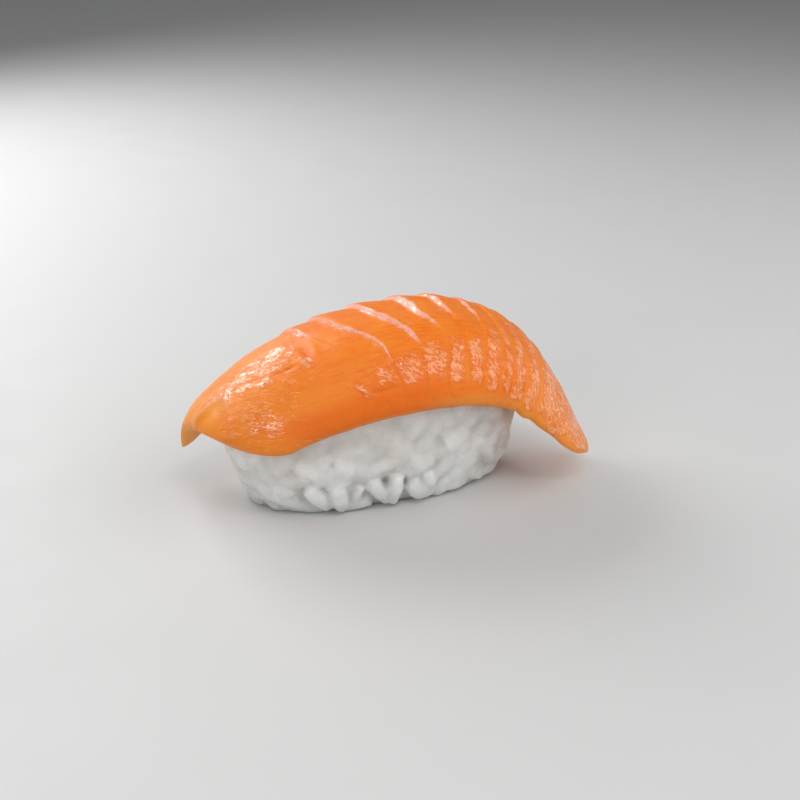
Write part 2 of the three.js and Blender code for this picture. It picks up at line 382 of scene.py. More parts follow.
@dataclass(frozen=True)
class SliceForm:
    """The smooth form of the slice, lofted through its sections."""

    sections: tuple[Section, ...] = (
        Section(0.00, -37.6, 0.5, 14.2, 14.8, 12.5, 48, 39, 3.5),
        Section(0.12, -29.5, 0.0, 19.4, 16.9, 14.2, 59, 58, 6.9),
        Section(0.28, -17.0, 0.0, 26.5, 18.5, 16.0, 71, 72, 8.8),
        Section(0.46, -0.3, 0.0, 31.1, 20.0, 16.5, 73, 73, 9.2),
        Section(0.64, 17.0, 0.4, 31.0, 20.5, 16.0, 70, 65, 8.3),
        Section(0.78, 28.6, 1.2, 25.0, 19.3, 13.6, 62, 50, 7.0),
        Section(0.88, 35.2, 0.2, 16.2, 17.1, 9.8, 46, 34, 5.5),
        Section(0.95, 39.8, -1.0, 8.4, 13.1, 5.5, 24, 18, 4.2),
        Section(1.00, 44.2, -2.8, 2.1, 2.8, 1.5, 4, 4, 3.0),
    )
    fall_bend: float = 1.25
    fall_steps: int = 8
    edge_fullness: float = 4.0
    end_fullness: float = 14.0
    cut_lean: float = 0.136
    cut_lean_power: float = 1.6
    cut_rounding: float = 0.072
    cut_rounding_power: float = 4.0
    sag_drop: float = 4.3
    sag_across: float = 0.25
    sag_along: float = 0.1
    tip_rounding: float = 0.014
    tip_rounding_power: float = 2.6
    wave_length: float = 0.034
    wave_height: float = 0.022
    wave_power: float = 6.0
    wave_seed: int = 3
    wave_before: float = 0.12
    wave_grown: Zone = Zone(0.88, part_from=(0.72, 0.80))
    small: float = 1e-3

    def value(self, name: str, at: Array) -> Array:
        """One property of the sections at any place along the slice."""
        places = [section.at for section in self.sections]
        return smooth_curve(places, [getattr(section, name) for section in self.sections], at)

    def middle(self, at: Array, side: Array) -> Array:
        """The slice's middle surface.

        Args:
            at: Places along the slice, from 0 to 1.
            side: Places across it, from -1 at the front edge to 1 at the back.

        Returns:
            Points in millimetres, one row each.
        """
        run_x = self.value("x", at + self.small) - self.value("x", at - self.small)
        run_z = self.value("z", at + self.small) - self.value("z", at - self.small)
        run = np.hypot(run_x, run_z)
        in_front = side < 0
        reach = np.where(in_front, self.value("front", at), self.value("back", at))
        fall = np.where(in_front, self.value("front_fall", at), self.value("back_fall", at))
        fall = np.radians(fall)
        stride = np.abs(side) * reach / self.fall_steps
        out = np.zeros_like(stride)
        down = np.zeros_like(stride)
        for i in range(self.fall_steps):
            slope = fall * ((i + 0.5) / self.fall_steps * np.abs(side)) ** self.fall_bend
            out += np.cos(slope) * stride
            down += np.sin(slope) * stride
        sag = self.sag_drop * smoothstep(side, self.sag_across, 1.0)
        sag = sag * smoothstep(self.sag_along - at, 0.0, self.sag_along)
        return np.stack([
            self.value("x", at) + run_z / run * down,
            self.value("y", at) + np.sign(side) * out,
            self.value("z", at) - run_x / run * down - sag,
        ], axis=-1)

    def along(self, part: Array, side: Array) -> Array:
        """Where a share of the slice lies on it, from its diagonal cut end to its rounded tip."""
        diagonal = self.cut_lean * ((1 - side) / 2) ** self.cut_lean_power
        corner = 1 - np.sqrt(np.clip(1 - np.clip(-side, 0, 1) ** self.cut_rounding_power, 0, 1))
        start = diagonal + self.cut_rounding * corner
        end = 1 - self.tip_rounding * np.abs(side) ** self.tip_rounding_power
        return start + part * (end - start)

    def normal(self, at: Array, side: Array) -> Array:
        """The direction that the middle surface faces, one row for each place."""
        high = np.minimum(side + self.small, 1.0)
        low = np.maximum(side - self.small, -1.0)
        lengthwise = self.middle(at + self.small, side) - self.middle(at - self.small, side)
        crosswise = self.middle(at, high) - self.middle(at, low)
        facing = np.cross(lengthwise, crosswise)
        return facing / np.linalg.norm(facing, axis=1, keepdims=True)

    def rim(self, part: Array, side: Array) -> Array:
        """How full the slice is, from 1 in its middle to 0 at its rim."""
        edge = np.clip(1 - np.abs(side) ** self.edge_fullness, 0, 1) ** 0.5
        return edge * np.clip(1 - np.abs(2 * part - 1) ** self.end_fullness, 0, 1) ** 0.5

    def surface(self, part: Array, side: Array, face: Face, rise: Array) -> Array:
        """Points of one face of the slice.

        Args:
            part: Places along the slice, from 0 at the cut end to 1 at the tail.
            side: Places across it, from -1 to 1.
            face: The face wanted.
            rise: How far the face stands out from the smooth form, in millimetres.

        Returns:
            Points in millimetres, one row each.
        """
        at = self.along(part, side)
        out = 0.5 * self.value("thick", at) * self.rim(part, side) + rise
        wavy = side * (1 + self.wave(part, side) * np.abs(side) ** self.wave_power)
        return self.middle(at, wavy) + self.normal(at, side) * (face.value * out)[:, None]

    def wave(self, part: Array, side: Array) -> Array:
        """How far the hand-cut rim strays to each side along the slice, as a share of its reach."""
        places = np.stack([part / self.wave_length, np.sign(side), np.zeros_like(part)], axis=1)
        strayed = Unevenness(self.wave_seed, 1.0, self.wave_height).at(places)
        return strayed * (self.wave_before + self.wave_grown.at(part, side))


# ------------------------------------------------------------
# The slice's relief
# ------------------------------------------------------------


@dataclass(frozen=True)
class FatLine:
    """A line of fat between two flakes.

    parts says how far along the slice it lies at each of FleshRelief.line_sides. Its fat shows from
    the back down to white_to, and is width millimetres wide at the side called widest. step is how
    far the next flake stands out over it, and groove how clearly its smooth strip shows down the
    front.
    """

    parts: tuple[float, float, float, float, float]
    white_to: float
    widest: float
    width: float
    white: float
    step: float
    groove: float


@dataclass(frozen=True)
class Dent:
    """A small hollow in the flesh, or a welt where its depth is below zero.

    Its shade share is painted shade in the hollow, a darker colour, and pale says how much paler in
    colour it is.
    """

    part: float
    side: float
    length: float
    width: float
    depth: float
    turn: float
    # Painted shade in the hollow.
    dent_shade: float = 0.0
    pale: float = 0.0


@dataclass(frozen=True)
class Oval:
    """An oval spot on the slice, in shares of its length and width."""

    part: float
    side: float
    length: float
    width: float
    strength: float

    def at(self, part: Array, side: Array) -> Array:
        """How near to the spot's middle some places lie, where 1 is in the middle."""
        return hump(part, self.part, self.length) * hump(side, self.side, self.width)


@dataclass(frozen=True)
class Flakes:
    """Where some places lie among the flakes.

    place is where each lies along the slice once the lines' wander is taken off, and starts where
    each line of fat lies there. nearest is how far off the nearest line is, strip how clearly that
    line's smooth strip shows, and front how far the place is in the front part, where strips show.
    """

    place: Array
    starts: Array
    nearest: Array
    strip: Array
    front: Array


@dataclass(frozen=True)
class FleshRelief:
    """Everything that stands out from the slice's smooth form or sinks into it.

    Places are shares of the slice's length and width, and heights and sizes are in millimetres. A
    pair of numbers says where an ease starts and where it ends.
    """

    line_sides: tuple[float, ...] = (-0.8, -0.45, -0.1, 0.33, 1.0)
    lines: tuple[FatLine, ...] = (
        FatLine((0.335, 0.326, 0.305, 0.296, 0.262), -0.12, 0.12, 0.7, 0.60, 0.60, 0.05),
        FatLine((0.392, 0.401, 0.359, 0.356, 0.330), -0.56, -0.30, 0.70, 0.95, 0.85, 0.85),
        FatLine((0.443, 0.470, 0.440, 0.431, 0.402), -0.46, -0.15, 1.45, 0.90, 0.95, 0.60),
        FatLine((0.495, 0.534, 0.511, 0.513, 0.490), -0.33, -0.02, 1.25, 0.90, 0.90, 0.80),
        FatLine((0.549, 0.579, 0.569, 0.577, 0.556), -0.20, 0.06, 0.85, 0.85, 0.80, 1.00),
        FatLine((0.600, 0.621, 0.626, 0.638, 0.620), -0.26, 0.00, 0.7, 0.70, 0.50, 1.00),
        FatLine((0.646, 0.662, 0.666, 0.680, 0.668), -0.28, 0.10, 0.5, 0.30, 0.45, 0.90),
        FatLine((0.688, 0.692, 0.702, 0.720, 0.712), -0.05, 0.20, 0.5, 0.20, 0.38, 0.90),
        FatLine((0.743, 0.728, 0.738, 0.760, 0.755), 0.05, 0.25, 0.4, 0.15, 0.34, 1.00),
        FatLine((0.792, 0.778, 0.788, 0.808, 0.812), 0.05, 0.25, 0.4, 0.10, 0.28, 1.00),
        FatLine((0.858, 0.850, 0.852, 0.868, 0.880), 0.10, 0.30, 0.4, 0.05, 0.15, 0.25),
    )
    dents: tuple[Dent, ...] = (
        Dent(0.276, -0.27, 2.2, 0.75, 0.34, 76.0, 0.80),
        Dent(0.294, -0.27, 2.8, 0.70, -0.20, 74.0, 0.0, 0.28),
        Dent(0.222, -0.335, 1.7, 0.24, 0.34, -6.0, 0.9),
        Dent(0.335, -0.33, 4.4, 1.6, -0.14, 38.0, 0.0, 0.26),
        Dent(0.344, -0.765, 2.2, 0.28, 0.55, -5.0, 1.0),
        Dent(0.309, -0.73, 1.9, 0.36, -0.28, -42.0, 0.0, 0.8),
        Dent(0.205, -0.07, 2.2, 0.9, 0.22, 30.0),
        Dent(0.150, -0.22, 2.0, 0.9, 0.22, -20.0),
        Dent(0.050, -0.36, 3.0, 1.2, 0.24, 45.0, 0.30),
        Dent(0.033, -0.27, 2.4, 0.9, -0.14, 45.0, 0.0, 0.15),
    )
    patches: tuple[Oval, ...] = (
        Oval(0.185, -0.18, 0.110, 0.30, 0.56),
        Oval(0.250, -0.06, 0.024, 0.09, 0.88),
        Oval(0.222, -0.10, 0.026, 0.11, 0.82),
        Oval(0.200, -0.05, 0.022, 0.09, 0.76),
        Oval(0.222, -0.25, 0.026, 0.07, 0.80),
        Oval(0.262, -0.17, 0.018, 0.06, 0.72),
        Oval(0.156, -0.10, 0.024, 0.10, 0.78),
        Oval(0.140, -0.25, 0.030, 0.12, 0.80),
        Oval(0.170, -0.36, 0.026, 0.08, 0.84),
        Oval(0.108, -0.14, 0.030, 0.14, 0.74),
        Oval(0.085, -0.05, 0.022, 0.09, 0.60),
        Oval(0.098, -0.60, 0.046, 0.22, 0.72),
        Oval(0.078, -0.72, 0.032, 0.12, 0.90),
        Oval(0.150, -0.50, 0.045, 0.18, 0.46),
        Oval(0.298, 0.08, 0.016, 0.10, 0.75),
        Oval(0.266, -0.37, 0.014, 0.08, 1.00),
        Oval(0.790, -0.74, 0.026, 0.12, 0.75),
        Oval(0.850, -0.62, 0.030, 0.20, 0.85),
        Oval(0.905, -0.72, 0.030, 0.22, 0.95),
        Oval(0.314, -0.745, 0.012, 0.05, 0.85),
    )
    length: float = 88.0
    reach: float = 20.0

    line_wander: Unevenness = Unevenness(7, 4.5, 0.0045)
    line_jitter: Unevenness = Unevenness(7, 1.4, 0.0012)
    riser: float = 0.009
    sink: float = 0.35
    fall: float = 0.8
    laps_start: float = 0.10
    flat_front: Zone = Zone(0.75, side_to=(-0.55, 0.05))
    groove_depth: float = 0.05
    groove_width: float = 0.0062
    groove_foot: Zone = Zone(1.0, side_from=(-0.94, -0.76))
    groove_top: Ramp = (-0.02, 0.14)
    pillow: float = 0.04
    pillow_power: float = 4.0

    band_parts: tuple[float, ...] = (0.33, 0.38, 0.44, 0.50, 0.60, 0.66, 0.70, 0.75, 0.84, 0.92)
    band_tops: tuple[float, ...] = (
        -0.67, -0.64, -0.58, -0.54, -0.48, -0.34, -0.20, -0.02, 0.10, 0.20
    )
    band_feet: tuple[float, ...] = (
        -0.76, -0.765, -0.765, -0.79, -0.87, -0.90, -0.90, -0.93, -0.97, -0.97
    )
    band_start: Ramp = (0.33, 0.36)
    band_end: Ramp = (0.94, 0.99)
    band_foot_ease: Ramp = (-0.02, 0.03)
    band_top_ease: Ramp = (-0.04, 0.10)
    tail_ease: Zone = Zone(0.45, part_from=(0.68, 0.86))
    frayed: Unevenness = Unevenness(19, 5.0, 0.16)
    frays: Zone = Zone(1.0, part_from=(0.68, 0.84))
    end_frays: float = 0.15
    band_least: float = 0.92
    band_change: float = 0.20

    film_chance: Unevenness = Unevenness(8, 2.2)
    film_shift: float = 0.05
    film_slide: Unevenness = Unevenness(11, 2.0, 0.008)
    torn: Strokes = Strokes(17, 24.0, 3.2, 1.1)
    tear: float = 0.25
    torn_where: Ramp = (0.05, 0.40)
    patch_ease: Ramp = (0.05, 0.90)
    mist: Unevenness = Unevenness(12, 3.0, 0.20)
    mist_least: float = 0.16
    lobe_mist: Zone = Zone(0.26, part_to=(0.17, 0.31))
    back_clears: Zone = Zone(0.7, side_from=(-0.1, 0.6))
    front_clears: Zone = Zone(0.6, part_from=(0.13, 0.21), side_to=(-0.74, -0.56))
    film_shine: float = 0.35
    shine_back: Ramp = (-0.50, -0.10)
    tail_shine: Zone = Zone(0.25, part_from=(0.60, 0.70))

    cut_sides: tuple[float, ...] = (-0.62, -0.54, -0.51, -0.41, -0.30, -0.04)
    cut_parts: tuple[float, ...] = (-0.03, 0.011, 0.035, 0.066, 0.089, 0.113)
    cut_deepest: float = 12.0
    cut_back: Ramp = (-0.20, 0.02)
    cut_run: float = 6.0
    cut_depth: float = 0.8
    cut_lobes: Unevenness = Unevenness(20, 4.2, 0.26)
    cut_lobes_ease: Ramp = (0.5, 3.5)
    cut_border: Unevenness = Unevenness(7, 2.4, 1.2)
    cut_border_run: float = 4.5
    cut_rim_place: float = 0.8
    cut_rim_width: float = 0.70
    # Painted highlight along the lit rim of the cut face, drawn in the fat colour.
    cut_rim_highlight: Zone = Zone(0.50, side_from=(-0.42, -0.24))

    welt_side: float = 0.02
    welt_width: float = 0.045
    welt_height: float = 0.20
    welt_wander: Unevenness = Unevenness(7, 3.0, 0.03)
    welt_ends: Zone = Zone(1.0, part_to=(0.08, 0.14))

    lump: Unevenness = Unevenness(7, 2.6, 0.13)
    lump_dry: float = 0.35
    lump_wet: float = 0.65
    lump_on_cut: float = 0.3
    lump_off_cut: float = 0.7
    crinkle: float = 0.13
    facets: Unevenness = Unevenness(9, 1.5)
    facet_crease: Ramp = (0.0, 0.30)
    facet_height: float = 0.40
    facet_level: float = -0.25
    strokes: tuple[Strokes, ...] = (
        Strokes(10, -35.0, 2.4, 0.70, 0.60),
        Strokes(13, 15.0, 1.6, 0.62, 0.35),
    )
    specks: Unevenness = Unevenness(16, 0.48, 0.20)
    strip_smooth: float = 0.95
    strip_width: float = 1.25

    pale_fat: float = 0.62
    fat_rise: float = 0.08
    line_behind: float = 0.45
    line_thin: float = 0.42
    line_swell: float = 0.58
    line_swell_width: float = 0.22
    line_change: Unevenness = Unevenness(7, 1.7, 0.35)
    line_ease: Ramp = (0.40, 1.50)
    line_fade: float = 0.10
    halo: float = 0.34
    halo_ease: Ramp = (0.4, 2.4)

    def band_side(self, sides: Sequence[float], part: Array) -> Array:
        """One border of the wet band along the front, held still beyond the band's ends."""
        held = np.clip(part, self.band_parts[0], self.band_parts[-1])
        return smooth_curve(self.band_parts, sides, held)

    def film(self, part: Array, side: Array, points: Array) -> tuple[Array, Array]:
        """Where the surface is wet and crinkled, so that it glints in broken spots.

        Args:
            part: Places along the slice.
            side: Places across it.
            points: The same places in millimetres, for chance unevenness.

        Returns:
            How crinkled each place is, and how much of that shines brightly, both from 0 to 1.
        """
        chance = self.film_chance.at(points)
        across = side + self.film_shift * chance
        along = part + self.film_slide.at(points)
        top = self.band_side(self.band_tops, along)
        foot = self.band_side(self.band_feet, along)
        frayed = self.frayed.at(points) * self.frays.at(part, side)
        fade = top + self.band_top_ease[1] + self.tail_ease.at(part, side)
        band = smoothstep(across, foot + self.band_foot_ease[0], foot + self.band_foot_ease[1])
        band = band * faded(across + frayed, top + self.band_top_ease[0], fade)
        band = band * smoothstep(along, *self.band_start)
        band = band * faded(along + self.end_frays * frayed, *self.band_end)
        band = band * (self.band_least + self.band_change * chance)

        torn = self.torn.at(part * self.length, side * self.reach)
        shine = np.zeros_like(part)
        for patch in self.patches:
            spot = patch.at(along, across)
            tear = self.tear * torn * smoothstep(spot, *self.torn_where)
            shine = np.maximum(shine, patch.strength * smoothstep(spot + tear, *self.patch_ease))

        misty = self.mist_least + self.lobe_mist.at(part, side) + self.mist.at(points)
        for clears in (self.back_clears, self.front_clears):
            misty = misty * (1 - clears.at(part, side))
        film = np.clip(np.maximum.reduce([band, shine, misty]), 0, 1)
        shown = faded(side - self.tail_shine.at(part, side), *self.shine_back)
        return film, np.maximum(shine, self.film_shine * film * shown)

    def cut_face(self, part: Array, side: Array) -> Array:
        """How far inside the slanting cut face a place lies, in millimetres, and 0 outside it."""
        held = np.clip(side, self.cut_sides[0], self.cut_sides[-1])
        inside = (smooth_curve(self.cut_sides, self.cut_parts, held) - part) * self.length
        return np.clip(inside, 0, self.cut_deepest) * faded(side, *self.cut_back)

    def flakes(self, part: Array, side: Array, points: Array) -> Flakes:
        """Find the lines of fat round some places.

        Args:
            part: Places along the slice.
            side: Places across it.
            points: The same places in millimetres.

        Returns:
            Where the places lie among the flakes.
        """
        place = part + self.line_wander.at(points) + self.line_jitter.at(points)
        held = np.clip(side, -1, 1)
        starts = np.stack([smooth_curve(self.line_sides, line.parts, held) for line in self.lines])
        off = np.abs(place[None, :] - starts)
        strip = np.array([line.groove for line in self.lines])[off.argmin(0)]
        top = self.band_side(self.band_tops, part)
        front = faded(side, top + self.groove_top[0], top + self.groove_top[1])
        return Flakes(place, starts, off.min(0), strip, front)

    def laps(self, part: Array, side: Array, flakes: Flakes) -> Array:
        """How far the lapping flakes stand out, with the grooves between them.

        Args:
            part: Places along the slice.
            side: Places across it.
            flakes: Where the places lie among the flakes.

        Returns:
            The rise in millimetres.
        """
        place, starts = flakes.place, flakes.starts
        passed = (place[None, :] > starts).sum(0)
        inside = (passed > 0) & (passed < len(self.lines))
        index = np.clip(passed, 1, len(self.lines) - 1)
        columns = np.arange(len(place))
        start = starts[index - 1, columns]
        across = np.clip((place - start) / (starts[index, columns] - start), 0, 1)
        flake = smoothstep(place - start, 0, self.riser) * (1 - across) ** self.fall - self.sink
        ends = smoothstep(part, starts[0] - self.laps_start, starts[0])
        ends = ends * faded(part, starts[-2], starts[-1])
        steps = np.array([line.step for line in self.lines])[index - 1]
        lap = np.where(inside, flake, np.where(passed == 0, -self.sink, 0.0)) * ends * steps
        groove = flakes.strip * hump(flakes.nearest, 0.0, self.groove_width) * flakes.front
        groove = groove * self.groove_foot.at(part, side)
        mound = np.where(inside, 1 - (2 * across - 1) ** self.pillow_power, 0.0)
        mound = mound * flakes.front * flakes.strip
        lap = lap * (1 - self.flat_front.at(part, side))
        return lap - self.groove_depth * groove + self.pillow * mound

    def dented(self, rise: Array, part: Array, side: Array) -> tuple[Array, Array, Array]:
        """Sink the dents into the relief.

        Args:
            rise: The rise without them.
            part: Places along the slice.
            side: Places across it.

        Returns:
            The rise with the dents, how much painted shade they put in their hollows, and how much
            paler they make the flesh.
        """
        dent_shade = np.zeros_like(part)
        pale = np.zeros_like(part)
        for dent in self.dents:
            turn = math.radians(dent.turn)
            run = (part - dent.part) * self.length
            off = (side - dent.side) * self.reach
            lengthwise = run * math.cos(turn) + off * math.sin(turn)
            crosswise = off * math.cos(turn) - run * math.sin(turn)
            there = hump(lengthwise, 0, dent.length) * hump(crosswise, 0, dent.width)
            rise = rise - dent.depth * there
            # Painted shade in the dent's hollow.
            dent_shade = np.maximum(dent_shade, dent.dent_shade * there)
            pale = np.maximum(pale, dent.pale * there)
        return rise, dent_shade, pale

    def crinkles(self, part: Array, side: Array, points: Array) -> Array:
        """The low crinkles of the wet skin, before they are kept to where it is wet."""
        facets = smoothstep(np.abs(self.facets.at(points)), *self.facet_crease)
        crinkles = self.facet_height * facets + self.facet_level
        for stroke in self.strokes:
            crinkles = crinkles + stroke.at(part * self.length, side * self.reach)
        return crinkles + self.specks.at(points)

    def line_fat(self, side: Array, points: Array, flakes: Flakes) -> Array:
        """How much fat the lines show.

        Args:
            side: Places across the slice.
            points: The same places in millimetres.
            flakes: Where the places lie among the flakes.

        Returns:
            Numbers from 0 to 1.
        """
        fat = np.zeros_like(side)
        change = 1 + self.line_change.at(points)
        for line, start in zip(self.lines, flakes.starts):
            swell = self.line_swell * hump(side, line.widest, self.line_swell_width)
            wide = line.width * (self.line_thin + swell) * change
            behind = self.line_behind * self.riser
            off = np.abs(flakes.place - start - behind) * self.length / (0.5 * wide)
            ahead = (start + behind - flakes.place) * self.length
            shown = smoothstep(side, line.white_to - self.line_fade, line.white_to + self.line_fade)
            glow = self.halo * line.white * faded(ahead, *self.halo_ease) * (ahead > 0) * shown
            fat = np.maximum(fat, line.white * faded(off, *self.line_ease) * shown)
            fat = np.maximum(fat, glow)
        return fat

    def rise_and_marks(
        self, part: Array, side: Array, points: Array
    ) -> tuple[Array, dict[str, Array]]:
        """The relief of the top face, and the marks that its material reads.

        Args:
            part: Places along the slice.
            side: Places across it.
            points: The smooth form there, in millimetres.

        Returns:
            The rise in millimetres, and each mark by name.
        """
        flakes = self.flakes(part, side, points)
        rise, dent_shade, pale = self.dented(self.laps(part, side, flakes), part, side)
        cut = self.cut_face(part, side)
        rise = rise - self.cut_depth * smoothstep(cut, 0.0, self.cut_run)
        rise = rise + self.cut_lobes.at(points) * smoothstep(cut, *self.cut_lobes_ease)
        # The welt along the top edge of the cut end; the material paints it paler, partly as a thin
        # rim and partly as painted highlight on that lit edge.
        welt = hump(side, self.welt_side + self.welt_wander.at(points), self.welt_width)
        welt = welt * self.welt_ends.at(part, side)
        rise = rise + self.welt_height * welt

        flat = faded(cut + self.cut_border.at(points), 0.0, self.cut_border_run)
        film, shine = self.film(part, side, points)
        film = film * flat
        strip = hump(flakes.nearest, 0.0, self.groove_width * self.strip_width) * flakes.front
        off_strip = 1 - self.strip_smooth * np.clip(flakes.strip, 0, 1) * strip
        lump = self.lump.at(points) * (self.lump_dry + self.lump_wet * film)
        rise = rise + lump * (self.lump_on_cut + self.lump_off_cut * flat)
        rise = rise + self.crinkle * self.crinkles(part, side, points) * film * off_strip

        # Painted highlight along the lit rim of the cut face, laid into the fat mark.
        rim = hump(cut, self.cut_rim_place, self.cut_rim_width) * self.cut_rim_highlight.at(part, side)
        fat = np.maximum.reduce([self.pale_fat * pale, self.line_fat(side, points, flakes), rim])
        marks = {
            "fat": fat,
            "film": film * off_strip,
            "shine": shine * flat,
            # The dents' painted shade.
            "dent_shade": dent_shade,
            "welt": welt,
            "run": part * self.length,
            "reach": side * self.reach,
        }
        return rise + self.fat_rise * fat, marks


# ------------------------------------------------------------
# Finishes
# ------------------------------------------------------------


class NodeBoard:
    """A node tree with short ways to add nodes, set sockets and link them."""

    def __init__(self, tree: bpy.types.NodeTree) -> None:
        """Take over a tree, which is emptied."""
        self.tree = tree
        tree.nodes.clear()

    def add(
        self, kind: str, inputs: dict[Any, Any] | None = None, **settings: Any
    ) -> bpy.types.Node:
        """Add a node.

        Args:
            kind: The node's type.
            inputs: What goes into its sockets, each a value or a socket to link.
            settings: The node's own settings.

        Returns:
            The new node.
        """
        node = self.tree.nodes.new(kind)
        for name, value in settings.items():
            setattr(node, name, value)
        for key, value in (inputs or {}).items():
            self.feed(node, key, value)
        return node

    def feed(self, node: bpy.types.Node, key: Any, value: Any) -> None:
        """Link a socket to an input, or set the input's own value."""
        if isinstance(value, Socket):
            self.tree.links.new(value, node.inputs[key])
        else:
            node.inputs[key].default_value = value

    def mark(self, name: str) -> Socket:
        """The number kept for each vertex under a name."""
        return self.add("ShaderNodeAttribute", attribute_name=name).outputs["Fac"]

    def math(self, operation: str, first: Any, second: Any = 0.0) -> Socket:
        """One sum of two numbers, given by its operation's name."""
        return self.add("ShaderNodeMath", {0: first, 1: second}, operation=operation).outputs[0]

    def times(self, first: Any, second: Any) -> Socket:
        """The product of two numbers."""
        return self.math("MULTIPLY", first, second)

    def plus(self, first: Any, second: Any) -> Socket:
        """The sum of two numbers."""
        return self.math("ADD", first, second)

    def minus(self, first: Any, second: Any) -> Socket:
        """The first number less the second."""
        return self.math("SUBTRACT", first, second)

    def larger(self, first: Any, second: Any) -> Socket:
        """The larger of two numbers."""
        return self.math("MAXIMUM", first, second)

    def mix(self, factor: Any, first: Any, second: Any) -> Socket:
        """A mix of two colours, the second by the factor's share."""
        node = self.add("ShaderNodeMix", {0: factor, 6: first, 7: second}, data_type="RGBA")
        return node.outputs[2]

    def ranged(
        self, value: Any, low: float, high: float, to_low: float = 0.0, to_high: float = 1.0
    ) -> Socket:
        """A number moved from one range to another, and held inside it."""
        ends = {"From Min": low, "From Max": high, "To Min": to_low, "To Max": to_high}
        return self.add("ShaderNodeMapRange", {"Value": value, **ends}).outputs["Result"]

    def spread(self, value: Any, to_low: float, to_high: float) -> Socket:
        """A number from 0 to 1 moved to another range."""
        return self.ranged(value, 0.0, 1.0, to_low, to_high)

    def noise(self, vector: Any, scale: Any, detail: float, **more: float) -> Socket:
        """Chance noise read at a vector, finer by its scale and richer by its detail."""
        inputs = {"Vector": vector, "Scale": scale, "Detail": detail, **more}
        return self.add("ShaderNodeTexNoise", inputs).outputs["Fac"]

    def vector(self, first: Any, second: Any) -> Socket:
        """A vector in the plane from two numbers."""
        return self.add("ShaderNodeCombineXYZ", {0: first, 1: second}).outputs[0]

    def bump(self, height: Any, distance: float) -> Socket:
        """A normal bumped by a height, which stands for a distance in millimetres."""
        inputs = {"Strength": 1.0, "Distance": distance * MM, "Height": height}
        return self.add("ShaderNodeBump", inputs).outputs[0]

    def surface(self, inputs: dict[str, Any]) -> None:
        """End a material's tree in a surface with these inputs."""
        skin = self.add("ShaderNodeBsdfPrincipled", inputs)
        self.add("ShaderNodeOutputMaterial", {"Surface": skin.outputs[0]})

    @staticmethod
    def of_material(name: str) -> tuple[bpy.types.Material, "NodeBoard"]:
        """A new material, and the board of its tree."""
        material = bpy.data.materials.new(name)
        material.use_nodes = True
        return material, NodeBoard(material.node_tree)


@dataclass(frozen=True)
class MoistFilm:
    """The crumpled film of moisture on both the flesh and the rice, as a shared node group."""

    name: str = "moist_film"
    inputs: tuple[tuple[str, str], ...] = (
        ("Vector", "NodeSocketVector"), ("Scale", "NodeSocketFloat"), ("Break", "NodeSocketFloat")
    )
    outputs: tuple[str, ...] = ("Wet", "Height", "Lines")
    broad_scale: float = 0.55
    broad_detail: float = 2.0
    large_twist: float = 0.8
    small_scale: float = 2.3
    small_twist: float = 0.4
    small_height: float = 0.45
    small_lines: float = 0.74
    wet_range: Ramp = (0.36, 0.56)
    dry_lines: float = 0.62
    crease_width: float = 0.11

    def group(self) -> bpy.types.NodeTree:
        """Build the group once, and hand out the same one afterwards.

        Returns:
            The node group, with the inputs Vector, Scale and Break and the outputs Wet, Height and
            Lines.
        """
        found = bpy.data.node_groups.get(self.name)
        if found:
            return found
        tree = bpy.data.node_groups.new(self.name, "ShaderNodeTree")
        for name, kind in self.inputs:
            tree.interface.new_socket(name, in_out="INPUT", socket_type=kind)
        for name in self.outputs:
            tree.interface.new_socket(name, in_out="OUTPUT", socket_type="NodeSocketFloat")
        board = NodeBoard(tree)
        given = board.add("NodeGroupInput").outputs
        vector, scale, broken = given["Vector"], given["Scale"], given["Break"]
        broad = board.noise(vector, board.times(scale, self.broad_scale), self.broad_detail)
        large = self.creases(board, vector, scale, self.large_twist)
        small = self.creases(board, vector, board.times(scale, self.small_scale), self.small_twist)
        wet = board.ranged(broad, *self.wet_range)
        height = board.plus(board.times(large, broken), broad)
        height = board.plus(height, board.times(small, board.times(broken, self.small_height)))
        fine = board.times(board.minus(1.0, small), self.small_lines)
        lines = board.larger(board.minus(1.0, large), fine)
        lines = board.times(lines, board.spread(wet, self.dry_lines, 1.0))
        board.add("NodeGroupOutput", {"Wet": wet, "Height": height, "Lines": lines})
        return tree

    def creases(self, board: NodeBoard, vector: Any, scale: Any, twist: float) -> Socket:
        """Facets with narrow creases between them.

        Args:
            board: The tree to build in.
            vector: Where the pattern is read.
            scale: How fine it is.
            twist: How much its creases curl.

        Returns:
            The height, from 0 in the creases to 1 on the facets.
        """
        noise = board.noise(vector, scale, 1.0, Distortion=twist)
        away = board.math("ABSOLUTE", board.minus(noise, 0.5))
        return board.ranged(away, 0.0, self.crease_width)

    def over(self, board: NodeBoard, vector: Any, scale: float, broken: float) -> Any:
        """Lay the film over a material.

        Args:
            board: The material's tree.
            vector: Where the pattern is read.
            scale: How fine it is.
            broken: How strongly it is broken up by creases.

        Returns:
            The outputs of the film.
        """
        film = board.add("ShaderNodeGroup", node_tree=self.group())
        for name, value in (("Vector", vector), ("Scale", scale), ("Break", broken)):
            board.feed(film, name, value)
        return film.outputs


